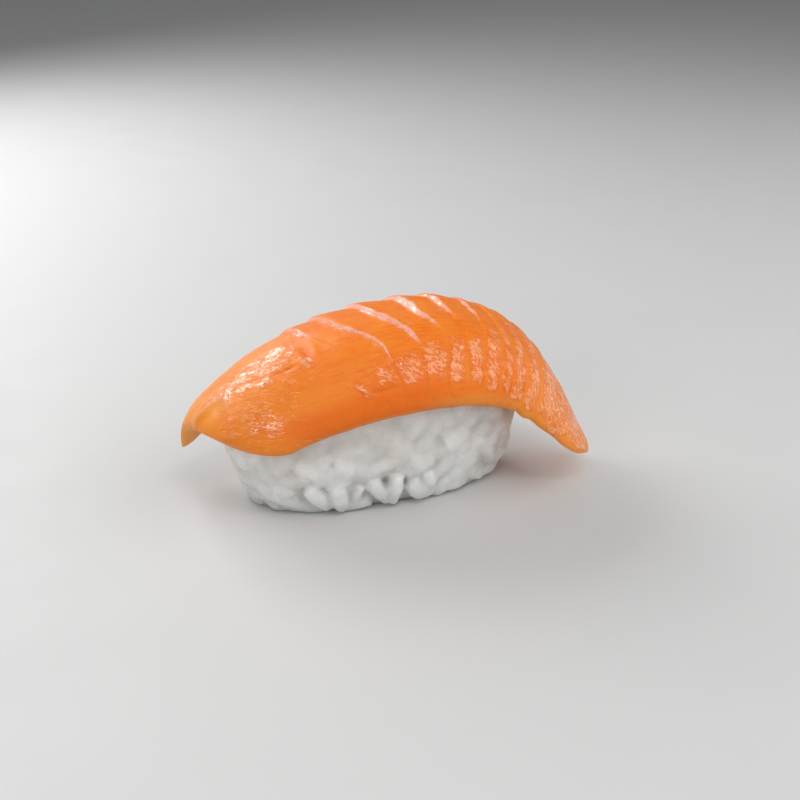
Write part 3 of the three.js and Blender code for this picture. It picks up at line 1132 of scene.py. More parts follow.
@dataclass(frozen=True)
class SalmonFinish:
    """Moist raw salmon: orange flesh with fine fibres, pale fat, and paler where it is thin."""

    flesh: Colour = (0.85, 0.205, 0.008, 1.0)
    # Darker orange of the fibre streaks; also painted shade in the gaps between the wet film's
    # glint lines.
    fibre_and_gap_shade: Colour = (0.78, 0.120, 0.003, 1.0)
    # Painted shade, darker and more saturated: the front rim where it turns down, and the dents'
    # hollows.
    deep: Colour = (0.78, 0.140, 0.001, 1.0)
    thin: Colour = (0.85, 0.36, 0.068, 1.0)
    lobe: Colour = (0.86, 0.280, 0.018, 1.0)
    fat: Colour = (0.90, 0.47, 0.36, 1.0)
    # Painted highlight: the pink-white tint laid on the glint lines of the wet film.
    skin: Colour = (0.98, 0.40, 0.175, 1.0)
    glow: tuple[float, float, float] = (1.0, 0.30, 0.10)
    roughness: float = 0.50
    coat_roughness: float = 0.08
    coat_bending: float = 1.65
    bending: float = 1.36
    translucency: float = 0.24
    glow_depth: float = 2.2
    bump_height: float = 0.16
    stroke_turn: float = -35.0
    stroke_long: float = 2.3
    film_scale: float = 1.45
    film_break: float = 0.45
    fibre_stretch: tuple[float, float] = (0.24, 1.9)
    fibre_detail: float = 4.0
    fibre_roughness: float = 0.6
    fibre_twist: float = 0.5
    fibre_height: float = 0.4
    mottle_scale: float = 170.0
    mottle_detail: float = 3.0
    blotch_scale: float = 800.0
    blotch_detail: float = 4.0
    blotch_roughness: float = 0.7
    fibre_range: Range = (0.46, 0.68, 0.0, 0.85)
    mottle_range: Range = (0.35, 0.7, 0.0, 0.4)
    blotch_range: Range = (0.50, 0.72, 0.0, 0.28)
    ragged_range: Range = (0.36, 0.64, -0.34, 0.30)
    blotch_rough: Range = (0.3, 0.7, -0.04, 0.06)
    fat_range: Ramp = (0.12, 1.00)
    fat_start: Ramp = (0.02, 0.5)
    fat_crinkled: float = 0.70
    welt_pale_highlight: float = 0.8
    glint_reach: Ramp = (-0.98, -0.29)
    glint_edge: float = 0.14
    # How strongly painted shade darkens the gaps between glint lines.
    between: Ramp = (0.60, 0.0)
    painted_glint_range: Range = (0.1, 0.8, 0.2, 0.72)
    glint_smooth: float = 0.22
    shine_full: float = 0.7
    dry_coat: float = 0.03
    smooth_height: float = 0.22

    def material(self) -> bpy.types.Material:
        """Build the material.

        Returns:
            The material, which reads the marks that the slice's relief keeps.
        """
        material, board = NodeBoard.of_material("salmon_flesh")
        names = ("run", "reach", "film", "fat", "lobe", "deep", "dent_shade", "thin", "welt", "shine")
        mark = {name: board.mark(name) for name in names}
        coords = board.add("ShaderNodeTexCoord").outputs["Object"]
        stretched = [board.times(mark["run"], self.fibre_stretch[0]),
                     board.times(mark["reach"], self.fibre_stretch[1])]
        fibres = board.noise(
            board.vector(*stretched), 1.0, self.fibre_detail,
            Roughness=self.fibre_roughness, Distortion=self.fibre_twist,
        )
        mottle = board.noise(coords, self.mottle_scale, self.mottle_detail)
        blotch = board.noise(
            coords, self.blotch_scale, self.blotch_detail, Roughness=self.blotch_roughness
        )

        colour = board.mix(board.ranged(fibres, *self.fibre_range), self.flesh, self.fibre_and_gap_shade)
        for factor, tone in (
            (board.ranged(mottle, *self.mottle_range), self.lobe),
            (mark["lobe"], self.lobe),
            # Painted shade on the downward-facing front rim and in the dents' hollows.
            (mark["deep"], self.deep),
            (mark["dent_shade"], self.deep),
            (mark["thin"], self.thin),
            # Paler thin rim and painted highlight on the welt's lit edge.
            (board.times(mark["welt"], self.welt_pale_highlight), self.thin),
            (board.ranged(blotch, *self.blotch_range), self.lobe),
        ):
            colour = board.mix(factor, colour, tone)
        ragged = board.ranged(blotch, *self.ragged_range)
        whiteness = board.ranged(board.plus(mark["fat"], ragged), *self.fat_range)
        whiteness = board.times(whiteness, board.ranged(mark["fat"], *self.fat_start))

        strokes = board.add("ShaderNodeMapping", {
            "Vector": board.vector(mark["run"], mark["reach"]),
            "Rotation": (0.0, 0.0, math.radians(self.stroke_turn)),
            "Scale": (self.stroke_long, 1.0, 1.0),
        }, vector_type="TEXTURE").outputs[0]
        film = MoistFilm().over(board, strokes, self.film_scale, self.film_break)
        crinkled = board.larger(mark["film"], board.times(whiteness, self.fat_crinkled))
        reached = board.plus(film["Lines"], board.spread(crinkled, *self.glint_reach))
        glint = board.ranged(reached, 0.0, self.glint_edge)
        # Painted shade: the gaps between the glint lines of the wet film are darkened.
        between = board.times(mark["film"], board.spread(glint, *self.between))
        colour = board.mix(between, colour, self.fibre_and_gap_shade)
        # Painted highlight: the glint lines of the wet film are tinted pink-white.
        painted_glint_share = board.times(board.ranged(mark["film"], *self.painted_glint_range), glint)
        colour = board.mix(painted_glint_share, colour, self.skin)
        colour = board.mix(whiteness, colour, self.fat)
        rough = board.spread(glint, self.roughness, self.roughness - self.glint_smooth)
        shine = board.ranged(board.larger(mark["shine"], whiteness), 0.0, self.shine_full)
        height = board.times(film["Height"], board.spread(crinkled, self.smooth_height, 1.0))
        height = board.plus(height, board.times(fibres, self.fibre_height))
        board.surface({
            "Base Color": colour,
            "Roughness": board.plus(rough, board.ranged(blotch, *self.blotch_rough)),
            "Coat Weight": board.spread(board.times(glint, shine), self.dry_coat, 1.0),
            "Coat Roughness": self.coat_roughness,
            "Coat IOR": self.coat_bending,
            "IOR": self.bending,
            "Subsurface Weight": self.translucency,
            "Subsurface Radius": self.glow,
            "Subsurface Scale": self.glow_depth * MM,
            "Normal": board.bump(height, self.bump_height),
        })
        return material


@dataclass(frozen=True)
class RiceFinish:
    """Cooked rice: glossy, slightly see-through, grey-white, a little different by grain."""

    clear: Colour = (0.63, 0.63, 0.61, 1.0)
    milky: Colour = (0.76, 0.77, 0.755, 1.0)
    # Painted shade in crevices and painted orange bounce light from the flesh above.
    bounce_and_crevice_shade: Colour = (0.52, 0.445, 0.38, 1.0)
    shade: Colour = (0.40, 0.40, 0.39, 1.0)
    glow: tuple[float, float, float] = (1.0, 0.95, 0.88)
    roughness: float = 0.34
    dry_rough: float = 0.14
    wet_smooth: float = 0.06
    coat_roughness: float = 0.07
    coat_bending: float = 1.6
    bending: float = 1.40
    translucency: float = 1.0
    glow_depth: float = 8.5
    bump_height: float = 0.025
    film_scale: float = 420.0
    film_break: float = 0.35
    cloud_scale: float = 420.0
    cloud_detail: float = 3.0
    cloud_range: Range = (0.3, 0.7, -0.25, 0.25)
    bounce_and_crevice_most: float = 0.6
    coat_range: Range = (0.45, 0.80, 0.03, 0.85)

    def material(self) -> bpy.types.Material:
        """Build the material.

        Returns:
            The material, which reads each grain's own tint.
        """
        material, board = NodeBoard.of_material("cooked_rice")
        coords = board.add("ShaderNodeTexCoord").outputs["Object"]
        cloud = board.noise(coords, self.cloud_scale, self.cloud_detail)
        tint = board.plus(board.mark("tint"), board.ranged(cloud, *self.cloud_range))
        colour = board.mix(board.ranged(tint, 0.0, 1.0), self.clear, self.milky)
        # Painted shade in crevices and painted orange bounce light from the flesh, read from the
        # depth mark.
        colour = board.mix(board.spread(board.mark("depth"), 0.0, self.bounce_and_crevice_most), colour, self.bounce_and_crevice_shade)
        film = MoistFilm().over(board, coords, self.film_scale, self.film_break)
        dry, wet = self.roughness + self.dry_rough, self.roughness - self.wet_smooth
        board.surface({
            "Base Color": board.mix(board.mark("hollow"), colour, self.shade),
            "Roughness": board.spread(film["Wet"], dry, wet),
            "Coat Weight": board.ranged(film["Lines"], *self.coat_range),
            "Coat Roughness": self.coat_roughness,
            "Coat IOR": self.coat_bending,
            "IOR": self.bending,
            "Subsurface Weight": self.translucency,
            "Subsurface Radius": self.glow,
            "Subsurface Scale": self.glow_depth * MM,
            "Normal": board.bump(film["Height"], self.bump_height),
        })
        return material


# ------------------------------------------------------------
# The slice of salmon
# ------------------------------------------------------------


@dataclass
class SalmonSlice:
    """The slice of raw salmon, with its flakes, fat lines and crinkled skin."""

    form: SliceForm = field(default_factory=SliceForm)
    relief: FleshRelief = field(default_factory=FleshRelief)
    finish: SalmonFinish = field(default_factory=SalmonFinish)
    grid_along: int = 476
    grid_across: int = 162
    end_crowding: float = 1.12
    edge_crowding: float = 1.30
    front_crowding: float = 0.22
    weld: float = 1e-7
    under_kept: float = 0.06
    hidden_reach: float = 0.9
    # Painted shade where the front rim turns down and under.
    front_rim_shade_zones: tuple[Zone, ...] = (
        Zone(0.85, part_from=(0.02, 0.13), part_to=(0.42, 0.58), side_to=(-0.84, -0.66)),
        Zone(0.3825, part_from=(0.30, 0.50), part_to=(0.66, 0.74), side_to=(-0.84, -0.76)),
    )
    thin_zones: tuple[Zone, ...] = (
        Zone(1.2, part_to=(0.0, 0.10), side_from=(-0.04, 0.04)),
        Zone(0.55, side_from=(0.955, 0.99)),
        Zone(0.55, side_to=(-0.99, -0.955)),
        Zone(0.62, part_from=(0.34, 0.52), side_to=(-0.97, -0.85)),
    )
    tail_zones: tuple[Zone, ...] = (
        Zone(0.54, part_from=(0.68, 0.86)),
        Zone(0.36, part_from=(0.90, 1.0)),
    )
    cut_top: Oval = Oval(0.072, -0.20, 0.026, 0.15, 0.7)
    thinness: float = 0.75
    lobe_zone: Zone = Zone(0.7, part_to=(0.16, 0.33))
    underside_grid: tuple[int, int] = (120, 70)
    underside_rim: tuple[float, float] = (0.01, 0.005)

    def sheet(self, face: Face) -> Thing:
        """One face of the slice, as a grid bent to its form.

        Args:
            face: The face wanted.

        Returns:
            The face as an open mesh, with its marks.
        """
        Bench.clear()
        bpy.ops.mesh.primitive_grid_add(
            x_subdivisions=self.grid_along, y_subdivisions=self.grid_across, size=2
        )
        obj = bpy.context.view_layer.objects.active
        flat = Bench.points(obj)
        part = 0.5 + 0.5 * crowded(flat[:, 0], self.end_crowding)
        leaning = flat[:, 1] - self.front_crowding * (1 - flat[:, 1] ** 2)
        side = crowded(leaning, self.edge_crowding)
        smooth = self.form.surface(part, side, face, np.zeros_like(part))
        rise, marks = self.relief.rise_and_marks(part, side, smooth)
        if face is Face.UNDER:
            rise = np.zeros_like(rise)
            marks = {name: values if name in ("run", "reach") else np.zeros_like(part)
                     for name, values in marks.items()}
        Bench.place(obj, self.form.surface(part, side, face, rise * self.form.rim(part, side)))
        for name, values in {**marks, **self.zones(part, side, face)}.items():
            Bench.mark(obj, name, values)
        if face is Face.UNDER:
            obj.data.flip_normals()
        return obj

    def zones(self, part: Array, side: Array, face: Face) -> dict[str, Array]:
        """Where the flesh gets painted shade on its downward-facing front rim, and where it is
        thinner or paler in colour.

        Args:
            part: Places along the slice.
            side: Places across it.
            face: The face that they lie on.

        Returns:
            Each zone's strength by name.
        """
        tail = sum(zone.at(part, side) for zone in self.tail_zones)
        cut_top = self.cut_top.strength * self.cut_top.at(part, side)
        thin = np.maximum.reduce([strongest(self.thin_zones, part, side), tail, cut_top])
        return {
            # Painted shade on the downward-facing front rim.
            "deep": strongest(self.front_rim_shade_zones, part, side),
            "thin": self.thinness * np.clip(thin, 0, 1),
            "lobe": self.lobe_zone.at(part, side),
            "under": np.full_like(part, float(face is Face.UNDER)),
        }

    def close_and_thin(self, obj: Thing) -> None:
        """Sew the two faces together along their rim, and coarsen the hidden underside."""
        Bench.only(obj)
        with Bench.editing():
            bpy.ops.mesh.select_all(action="SELECT")
            bpy.ops.mesh.remove_doubles(threshold=self.weld)
            Bench.face_outwards()
        count = len(obj.data.vertices)
        under = np.zeros(count, np.float32)
        reach = np.zeros(count, np.float32)
        obj.data.attributes["under"].data.foreach_get("value", under)
        obj.data.attributes["reach"].data.foreach_get("value", reach)
        hidden = (under > 0.99) & (np.abs(reach) < self.hidden_reach * self.relief.reach)
        for polygon in obj.data.polygons:
            polygon.select = all(hidden[v] for v in polygon.vertices)
        with Bench.editing():
            bpy.ops.mesh.select_mode(type="FACE")
            bpy.ops.mesh.decimate(ratio=self.under_kept)

    def build(self) -> Thing:
        """Make the slice, dress it and set it on the frame.

        Returns:
            The finished slice.
        """
        obj = Bench.join([self.sheet(Face.TOP), self.sheet(Face.UNDER)], "salmon_slice_flesh")
        self.close_and_thin(obj)
        bpy.ops.object.shade_smooth()
        Bench.finish(obj, "salmon_slice", Slot.SALMON, self.finish.material())
        return obj

    def underside(self) -> tuple[Array, Array]:
        """The underside's places and the directions it faces, in millimetres."""
        ends, edges = self.underside_rim
        part, side = np.meshgrid(
            np.linspace(ends, 1 - ends, self.underside_grid[0]),
            np.linspace(edges - 1, 1 - edges, self.underside_grid[1]),
            indexing="ij",
        )
        part, side = part.ravel(), side.ravel()
        points = self.form.surface(part, side, Face.UNDER, np.zeros_like(part))
        return points, -self.form.normal(self.form.along(part, side), side)


# ------------------------------------------------------------
# The rice
# ------------------------------------------------------------


@dataclass(frozen=True)
class HeapForm:
    """The outline of the heap: an oblong loaf that flares from its foot and is crowned above."""

    foot_length: float = 50.0
    foot_depth: float = 24.4
    bulge_length: float = 59.2
    bulge_depth: float = 28.8
    bulge_height: float = 13.6
    crown_height: float = 31.0
    crown_fullness: float = 4.0
    squareness: float = 2.4
    y: float = 0.8

    def reach(self, z: Array) -> tuple[Array, Array]:
        """Half the heap's length and half its depth at some heights."""
        flare = np.sin(np.clip(z / self.bulge_height, 0, 1) * math.pi / 2)
        rise = np.clip((z - self.bulge_height) / (self.crown_height - self.bulge_height), 0, 1)
        crown = np.sqrt(np.clip(1 - rise**self.crown_fullness, 0, 1))
        length = 0.5 * (self.foot_length + (self.bulge_length - self.foot_length) * flare) * crown
        depth = 0.5 * (self.foot_depth + (self.bulge_depth - self.foot_depth) * flare) * crown
        return length, depth

    def point(self, angle: Array, z: Array, inset: float) -> Array:
        """Points of the outline, drawn in by an inset.

        Args:
            angle: Directions round the heap, in radians.
            z: Heights.
            inset: How far inside the outline they lie.

        Returns:
            Points in millimetres, one row each.
        """
        length, depth = self.reach(z)
        power = self.squareness
        spread = (np.abs(np.cos(angle)) ** power + np.abs(np.sin(angle)) ** power) ** (-1 / power)
        return np.stack([
            np.maximum(length - inset, 0) * spread * np.cos(angle),
            self.y + np.maximum(depth - inset, 0) * spread * np.sin(angle),
            z,
        ], axis=-1)


@dataclass(frozen=True)
class GrainPlace:
    """A grain that shows by itself on the front of the heap.

    x and height are its middle in millimetres, lean its turn from level in degrees, and out how far
    it stands out from its neighbours.
    """

    x: float
    height: float
    lean: float
    length: float
    width: float
    out: float


@dataclass
class RiceHeap:
    """The heap of rice: a lumpy core with plump grains pressed on all round it.

    Sizes are in millimetres. A pair of numbers says where an ease starts and where it ends, but
    bends, tapers and flats each hold their least value and the span above it.
    """

    underside: tuple[Array, Array]
    form: HeapForm = field(default_factory=HeapForm)
    finish: RiceFinish = field(default_factory=RiceFinish)
    singled_out: tuple[GrainPlace, ...] = (
        GrainPlace(-2.2, 3.75, -56.0, 7.0, 3.6, 0.75),
        GrainPlace(0.9, 4.0, -97.0, 7.0, 3.4, 0.80),
        GrainPlace(-13.9, 3.6, -60.0, 7.0, 3.8, 0.72),
        GrainPlace(-9.9, 3.45, -86.0, 6.5, 4.3, 0.72),
        GrainPlace(-6.4, 4.1, 62.0, 3.6, 2.2, 0.70),
        GrainPlace(5.2, 3.3, -50.0, 5.2, 4.4, 0.45),
        GrainPlace(-6.3, 1.5, 6.0, 5.8, 3.0, 0.40),
        GrainPlace(7.8, 4.8, -70.0, 4.4, 2.8, 0.8),
        GrainPlace(-19.6, 3.0, -20.0, 5.8, 3.3, 0.6),
        GrainPlace(-22.8, 4.9, -57.0, 5.6, 3.2, 0.6),
        GrainPlace(-9.0, 10.3, -62.0, 6.4, 3.4, 0.25),
        GrainPlace(-1.5, 9.6, 18.0, 7.0, 3.3, 0.25),
        GrainPlace(4.8, 9.6, -50.0, 6.2, 3.2, 0.20),
        GrainPlace(-15.8, 9.8, -31.0, 6.2, 3.2, 0.20),
    )
    foot_grains: int = 7
    hollows: tuple[GrainPlace, ...] = (
        GrainPlace(-1.2, 6.0, -90.0, 2.4, 1.5, 0.7),
        GrainPlace(2.9, 5.2, -90.0, 2.0, 1.0, 0.6),
    )
    grain_length: float = 5.8
    grain_width: float = 3.05
    length_spread: float = 0.16
    width_spread: float = 0.10
    tries: int = 5200
    lowest: float = 0.9
    highest: float = 28.5
    outer_sink: float = 1.45
    inner_sink: float = 2.4
    closest: float = 0.52
    own_room: float = 0.78
    core_inset: float = 1.4
    clearance: float = 0.10
    beside_slice: float = 1.1
    fuse_size: float = 0.31
    soft_factor: float = 0.5
    fuse_rounds: int = 3
    melt_rounds: int = 110
    relief_low: float = 0.60
    relief_high: float = 0.11
    own_relief: float = 0.30
    foot_relief: float = 0.90
    melt_from: float = 2.5
    melt_full: float = 10.0
    crisp_share: float = 0.10
    seed: int = 20
    grain_cells: tuple[int, int] = (8, 6)
    grain_shoulder: Ramp = (0.36, 0.49)
    shoulder_swell: float = 1.35
    bearings: int = 720
    line_points: int = 5
    height_bias: float = 1.15
    small_turn: float = 0.01
    small_rise: float = 0.1
    far_below: float = 0.6
    bends: Ramp = (0.15, 0.35)
    tapers: Ramp = (-0.18, 0.36)
    flats: Ramp = (0.86, 0.12)
    row_step: float = 2.0
    floor_gap: float = 0.02
    pressed_above: float = 2.0
    pressed_depth: float = 12.0
    grain_lumps: tuple[Unevenness, ...] = tuple(Unevenness(20 + k, 1.9) for k in range(3))
    grain_lump_height: float = 0.10
    core_cells: tuple[int, int] = (150, 70)
    core_foot: float = 0.3
    core_top: float = 2.0
    core_rise: Ramp = (0.16, 0.86)
    core_under: Ramp = (0.0, 0.18)
    core_over: Ramp = (0.84, 1.0)
    core_middle: float = 12.0
    core_lumps: Unevenness = Unevenness(25, 3.0, 0.45)
    core_lumps_ease: Ramp = (0.4, 3.0)
    standing_ease: Ramp = (0.1, 1.1)
    melt_lumps: Unevenness = Unevenness(27, 7.0, 3.0)
    melt_more: float = 3.5
    melt_more_ease: Ramp = (6.0, 24.0)
    foot_shade: float = 0.20
    foot_shade_ease: Ramp = (0.5, 8.0)
    # Painted shade in the crevices, and painted orange bounce light from the flesh above.
    deep_ease: Ramp = (0.8, 2.6)
    crevice_shade: float = 0.7
    flesh_bounce: float = 1.4
    flesh_heights: Ramp = (4.0, 14.0)
    flesh_middle: float = -4.0
    flesh_width: float = 18.0
    flesh_share: float = 0.6
    bounce_patches: Unevenness = Unevenness(28, 5.0, 0.6)
    bounce_least: float = 0.6
    depth_span: Ramp = (-3.0, 9.0)
    least_reach: float = 0.1

    def grain_pattern(self) -> Thing:
        """Model one cooked grain, plump with blunt ends.

        Returns:
            The grain, one millimetre long and wide, lying along X.
        """
        Bench.clear()
        segments, rings = self.grain_cells
        bpy.ops.mesh.primitive_uv_sphere_add(
            segments=segments, ring_count=rings, radius=0.5, rotation=(0, math.pi / 2, 0)
        )
        grain = bpy.context.view_layer.objects.active
        bpy.ops.object.transform_apply(location=True, rotation=True, scale=True)
        with Bench.editing():
            bpy.ops.mesh.select_all(action="DESELECT")
        inner, outer = self.grain_shoulder
        for vertex in grain.data.vertices:
            vertex.select = inner < abs(vertex.co.x) < outer
        swell = (1.0, self.shoulder_swell, self.shoulder_swell)
        with Bench.editing():
            bpy.ops.transform.resize(value=swell, center_override=(0, 0, 0))
        return grain

    @staticmethod
    def tree_of(points: Array) -> kdtree.KDTree:
        """A search tree over some points."""
        tree = kdtree.KDTree(len(points))
        for i, point in enumerate(points):
            tree.insert(Vector(point), i)
        tree.balance()
        return tree

    def from_slice(self, tree: kdtree.KDTree, point: Array) -> tuple[Array, float, float]:
        """Where a point lies seen from the slice's underside.

        Args:
            tree: The search tree over the underside.
            point: The point.

        Returns:
            The way that the nearest place of the underside faces, how far below it the point lies,
            and how far beside it.
        """
        known, facings = self.underside
        _, near, _ = tree.find(Vector(point))
        away = point - known[near]
        below = away @ facings[near]
        return facings[near], below, float(np.linalg.norm(away - below * facings[near]))

    def nearest_grain(self, grains: dict[str, Array], points: Array) -> Array:
        """Which grain's middle is nearest to each point."""
        tree = self.tree_of(grains["centre"])
        return np.array([tree.find(Vector(point))[1] for point in points])

    def singled(self, place: GrainPlace, sink: float) -> tuple[float, ...]:
        """Find where a singled-out grain lies on the heap.

        Args:
            place: The grain's place.
            sink: How deep the other grains' middles lie.

        Returns:
            Its height, direction round the heap, lie, length, width and depth.
        """
        angles = np.linspace(-math.pi, 0.0, self.bearings)
        inset = sink - place.out
        across = self.form.point(angles, np.full_like(angles, place.height), inset)[:, 0]
        angle = float(angles[np.abs(across - place.x).argmin()])
        return place.height, angle, math.radians(place.lean), place.length, place.width, inset

    def drawn(self, sink: float, chance: np.random.Generator) -> tuple[float, ...]:
        """Draw a grain's place by chance, in the same order of values as for a singled-out one."""
        height = self.lowest + (self.highest - self.lowest) * chance.random() ** self.height_bias
        angle = chance.random() * 2 * math.pi
        lie = chance.random() * math.pi
        length = self.grain_length * (1 + self.length_spread * (2 * chance.random() - 1))
        width = self.grain_width * (1 + self.width_spread * (2 * chance.random() - 1))
        return height, angle, lie, length, width, sink

    def lay(
        self, sink: float, tries: int, shown: bool, chance: np.random.Generator
    ) -> dict[str, Array]:
        """Lay grains one after another round the heap, each clear of those before it.

        Args:
            sink: How deep their middles lie inside the outline.
            tries: How many places are tried.
            shown: Whether the singled-out grains are laid first.
            chance: Where the random draws come from.

        Returns:
            The grains' middles, directions, facings and sizes, and how each is turned and bent.
        """
        ends = np.linspace(-1, 1, self.line_points)
        laid: list[tuple[Array, ...]] = []
        lines = np.zeros((0, 3))
        rooms = np.zeros(0)
        tree = self.tree_of(self.underside[0])
        wanted = [self.singled(place, sink) for place in self.singled_out] if shown else []
        for i in range(len(wanted) + tries):
            grain = wanted[i] if i < len(wanted) else self.drawn(sink, chance)
            height, angle, lie, length, width, inset = grain
            z = np.array([height])
            turn = np.array([angle])
            centre = self.form.point(turn, z, inset)[0]
            level = self.form.point(turn + self.small_turn, z, inset)[0] - centre
            upward = self.form.point(turn, z + self.small_rise, inset)[0] - centre
            level, upward = level / np.linalg.norm(level), upward / np.linalg.norm(upward)
            _, below, beside = self.from_slice(tree, centre)
            if beside < self.beside_slice and below < self.far_below:
                continue
            direction = level * math.cos(lie) + upward * math.sin(lie)
            direction /= np.linalg.norm(direction)
            line = centre + direction * (0.5 * (length - width) * ends)[:, None]
            if len(lines) and i >= len(wanted):
                apart = np.linalg.norm(lines[None, :, :] - line[:, None, :], axis=2)
                if (apart < rooms).any():
                    continue
            lines = np.concatenate([lines, line])
            room = self.own_room if i < min(len(wanted), self.foot_grains) else self.closest
            rooms = np.concatenate([rooms, np.full(len(line), room * self.grain_width)])
            laid.append((centre, direction, np.cross(level, upward), length, width))
        names = ("centre", "direction", "facing", "length", "width")
        found = {name: np.array(values) for name, values in zip(names, zip(*laid))}
        found["roll"] = 2 * math.pi * chance.random(len(laid))
        shapes = (("bend", self.bends), ("taper", self.tapers), ("flat", self.flats))
        for name, (least, span) in shapes:
            found[name] = least + span * chance.random(len(laid))
        return found

    def keep_under_slice(self, points: Array) -> Array:
        """Press points that would enter the slice back against its underside.

        Args:
            points: Places in millimetres.

        Returns:
            The places, each clear of the slice.
        """
        tree = self.tree_of(self.underside[0])
        pressed = points.copy()
        for i, point in enumerate(points):
            if point[2] < self.pressed_above:
                continue
            facing, below, beside = self.from_slice(tree, point)
            if beside < self.beside_slice and 0 < self.clearance - below < self.pressed_depth:
                pressed[i] = point + facing * (self.clearance - below)
        return pressed

    def place_grains(self, grain: Thing, laid: dict[str, Array], name: str) -> Thing:
        """Copy the grain to every place, each copy bent and plumped in its own way.

        Args:
            grain: The modelled grain.
            laid: The places.
            name: The name that the joined grains get.

        Returns:
            The grains as one mesh.
        """
        count = len(laid["length"])
        pattern = Bench.points(grain)
        rows = grain.copy()
        rows.data = grain.data.copy()
        bpy.context.collection.objects.link(rows)
        Bench.only(rows)
        array = rows.modifiers.new("rows", "ARRAY")
        array.count = count
        array.use_relative_offset = False
        array.use_constant_offset = True
        array.constant_offset_displace = (self.row_step, 0, 0)
        bpy.ops.object.modifier_apply(modifier=array.name)
        rows.name = rows.data.name = name

        along = laid["direction"]
        out = laid["facing"] - (laid["facing"] * along).sum(1, keepdims=True) * along
        out /= np.linalg.norm(out, axis=1, keepdims=True)
        across = np.cross(out, along)
        shapes = ("roll", "bend", "taper", "flat", "length", "width")
        roll, bend, taper, flat, length, width = (laid[shape][:, None] for shape in shapes)
        cos, sin = np.cos(roll), np.sin(roll)
        across, out = across * cos + out * sin, out * cos - across * sin
        x = np.broadcast_to(pattern[:, 0], (count, len(pattern)))
        y = pattern[:, 1] * (1 + taper * 2 * x)
        z = pattern[:, 2] * (1 + taper * 2 * x) * flat
        y = y * width + bend * (1 - (2 * x) ** 2) - 0.5 * bend
        points = (
            laid["centre"][:, None, :]
            + (x * length)[..., None] * along[:, None, :]
            + y[..., None] * across[:, None, :]
            + (z * width)[..., None] * out[:, None, :]
        ).reshape(-1, 3)
        lumps = np.stack([lumps.at(points) for lumps in self.grain_lumps], axis=1)
        points = self.keep_under_slice(points + self.grain_lump_height * lumps)
        points[:, 2] = np.maximum(points[:, 2], self.floor_gap)
        Bench.place(rows, points)
        with Bench.editing():
            Bench.face_outwards()
        return rows

    def core(self) -> Thing:
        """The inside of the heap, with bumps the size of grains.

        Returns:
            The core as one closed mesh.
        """
        Bench.clear()
        segments, rings = self.core_cells
        bpy.ops.mesh.primitive_uv_sphere_add(segments=segments, ring_count=rings, radius=1.0)
        obj = bpy.context.view_layer.objects.active
        obj.name = obj.data.name = "rice_core"
        ball = Bench.points(obj)
        angle = np.arctan2(ball[:, 1], ball[:, 0])
        share = np.arccos(np.clip(-ball[:, 2], -1, 1)) / math.pi
        tall = self.form.crown_height - self.core_top
        height = self.core_foot + tall * smoothstep(share, *self.core_rise)
        drawn_in = smoothstep(share, *self.core_under) * faded(share, *self.core_over)
        points = self.form.point(angle, height, self.core_inset)
        middle = np.array([0.0, self.form.y, self.core_middle])
        points[:, :2] = middle[:2] + (points[:, :2] - middle[:2]) * drawn_in[:, None]
        outward = points - middle
        outward /= np.linalg.norm(outward, axis=1, keepdims=True) + 1e-9
        lumps = self.core_lumps.at(points) * smoothstep(points[:, 2], *self.core_lumps_ease)
        points = self.keep_under_slice(points + outward * lumps[:, None])
        points[:, 2] = np.maximum(points[:, 2], self.core_foot)
        Bench.place(obj, points)
        return obj

    def standing(self, points: Array, grains: dict[str, Array]) -> Array:
        """How far points lie on a grain that keeps its own form.

        Args:
            points: Places in millimetres.
            grains: The places of the grains that keep their form.

        Returns:
            Numbers from 0, clear of them, to 1, on one.
        """
        nearest = self.nearest_grain(grains, points)
        away = points - grains["centre"][nearest]
        direction = grains["direction"][nearest]
        half = 0.5 * (grains["length"] - grains["width"])[nearest]
        along = np.clip((away * direction).sum(1), -half, half)
        off = np.linalg.norm(away - along[:, None] * direction, axis=1)
        return faded(off - 0.5 * grains["width"][nearest], *self.standing_ease)

    def hollowed(self, points: Array) -> tuple[Array, Array]:
        """Sink the small hollows between grains at the foot.

        Args:
            points: Places in millimetres.

        Returns:
            The new places, and how deep in a hollow each is, from 0 to 1.
        """
        points = points.copy()
        deep = np.zeros(len(points))
        for hollow in self.hollows:
            there = hump(points[:, 0], hollow.x, 0.5 * hollow.width)
            there = there * hump(points[:, 2], hollow.height, 0.5 * hollow.length)
            there = np.where(points[:, 1] < self.form.y, there, 0.0)
            points[:, 1] += hollow.out * there
            deep = np.maximum(deep, there)
        return points, deep

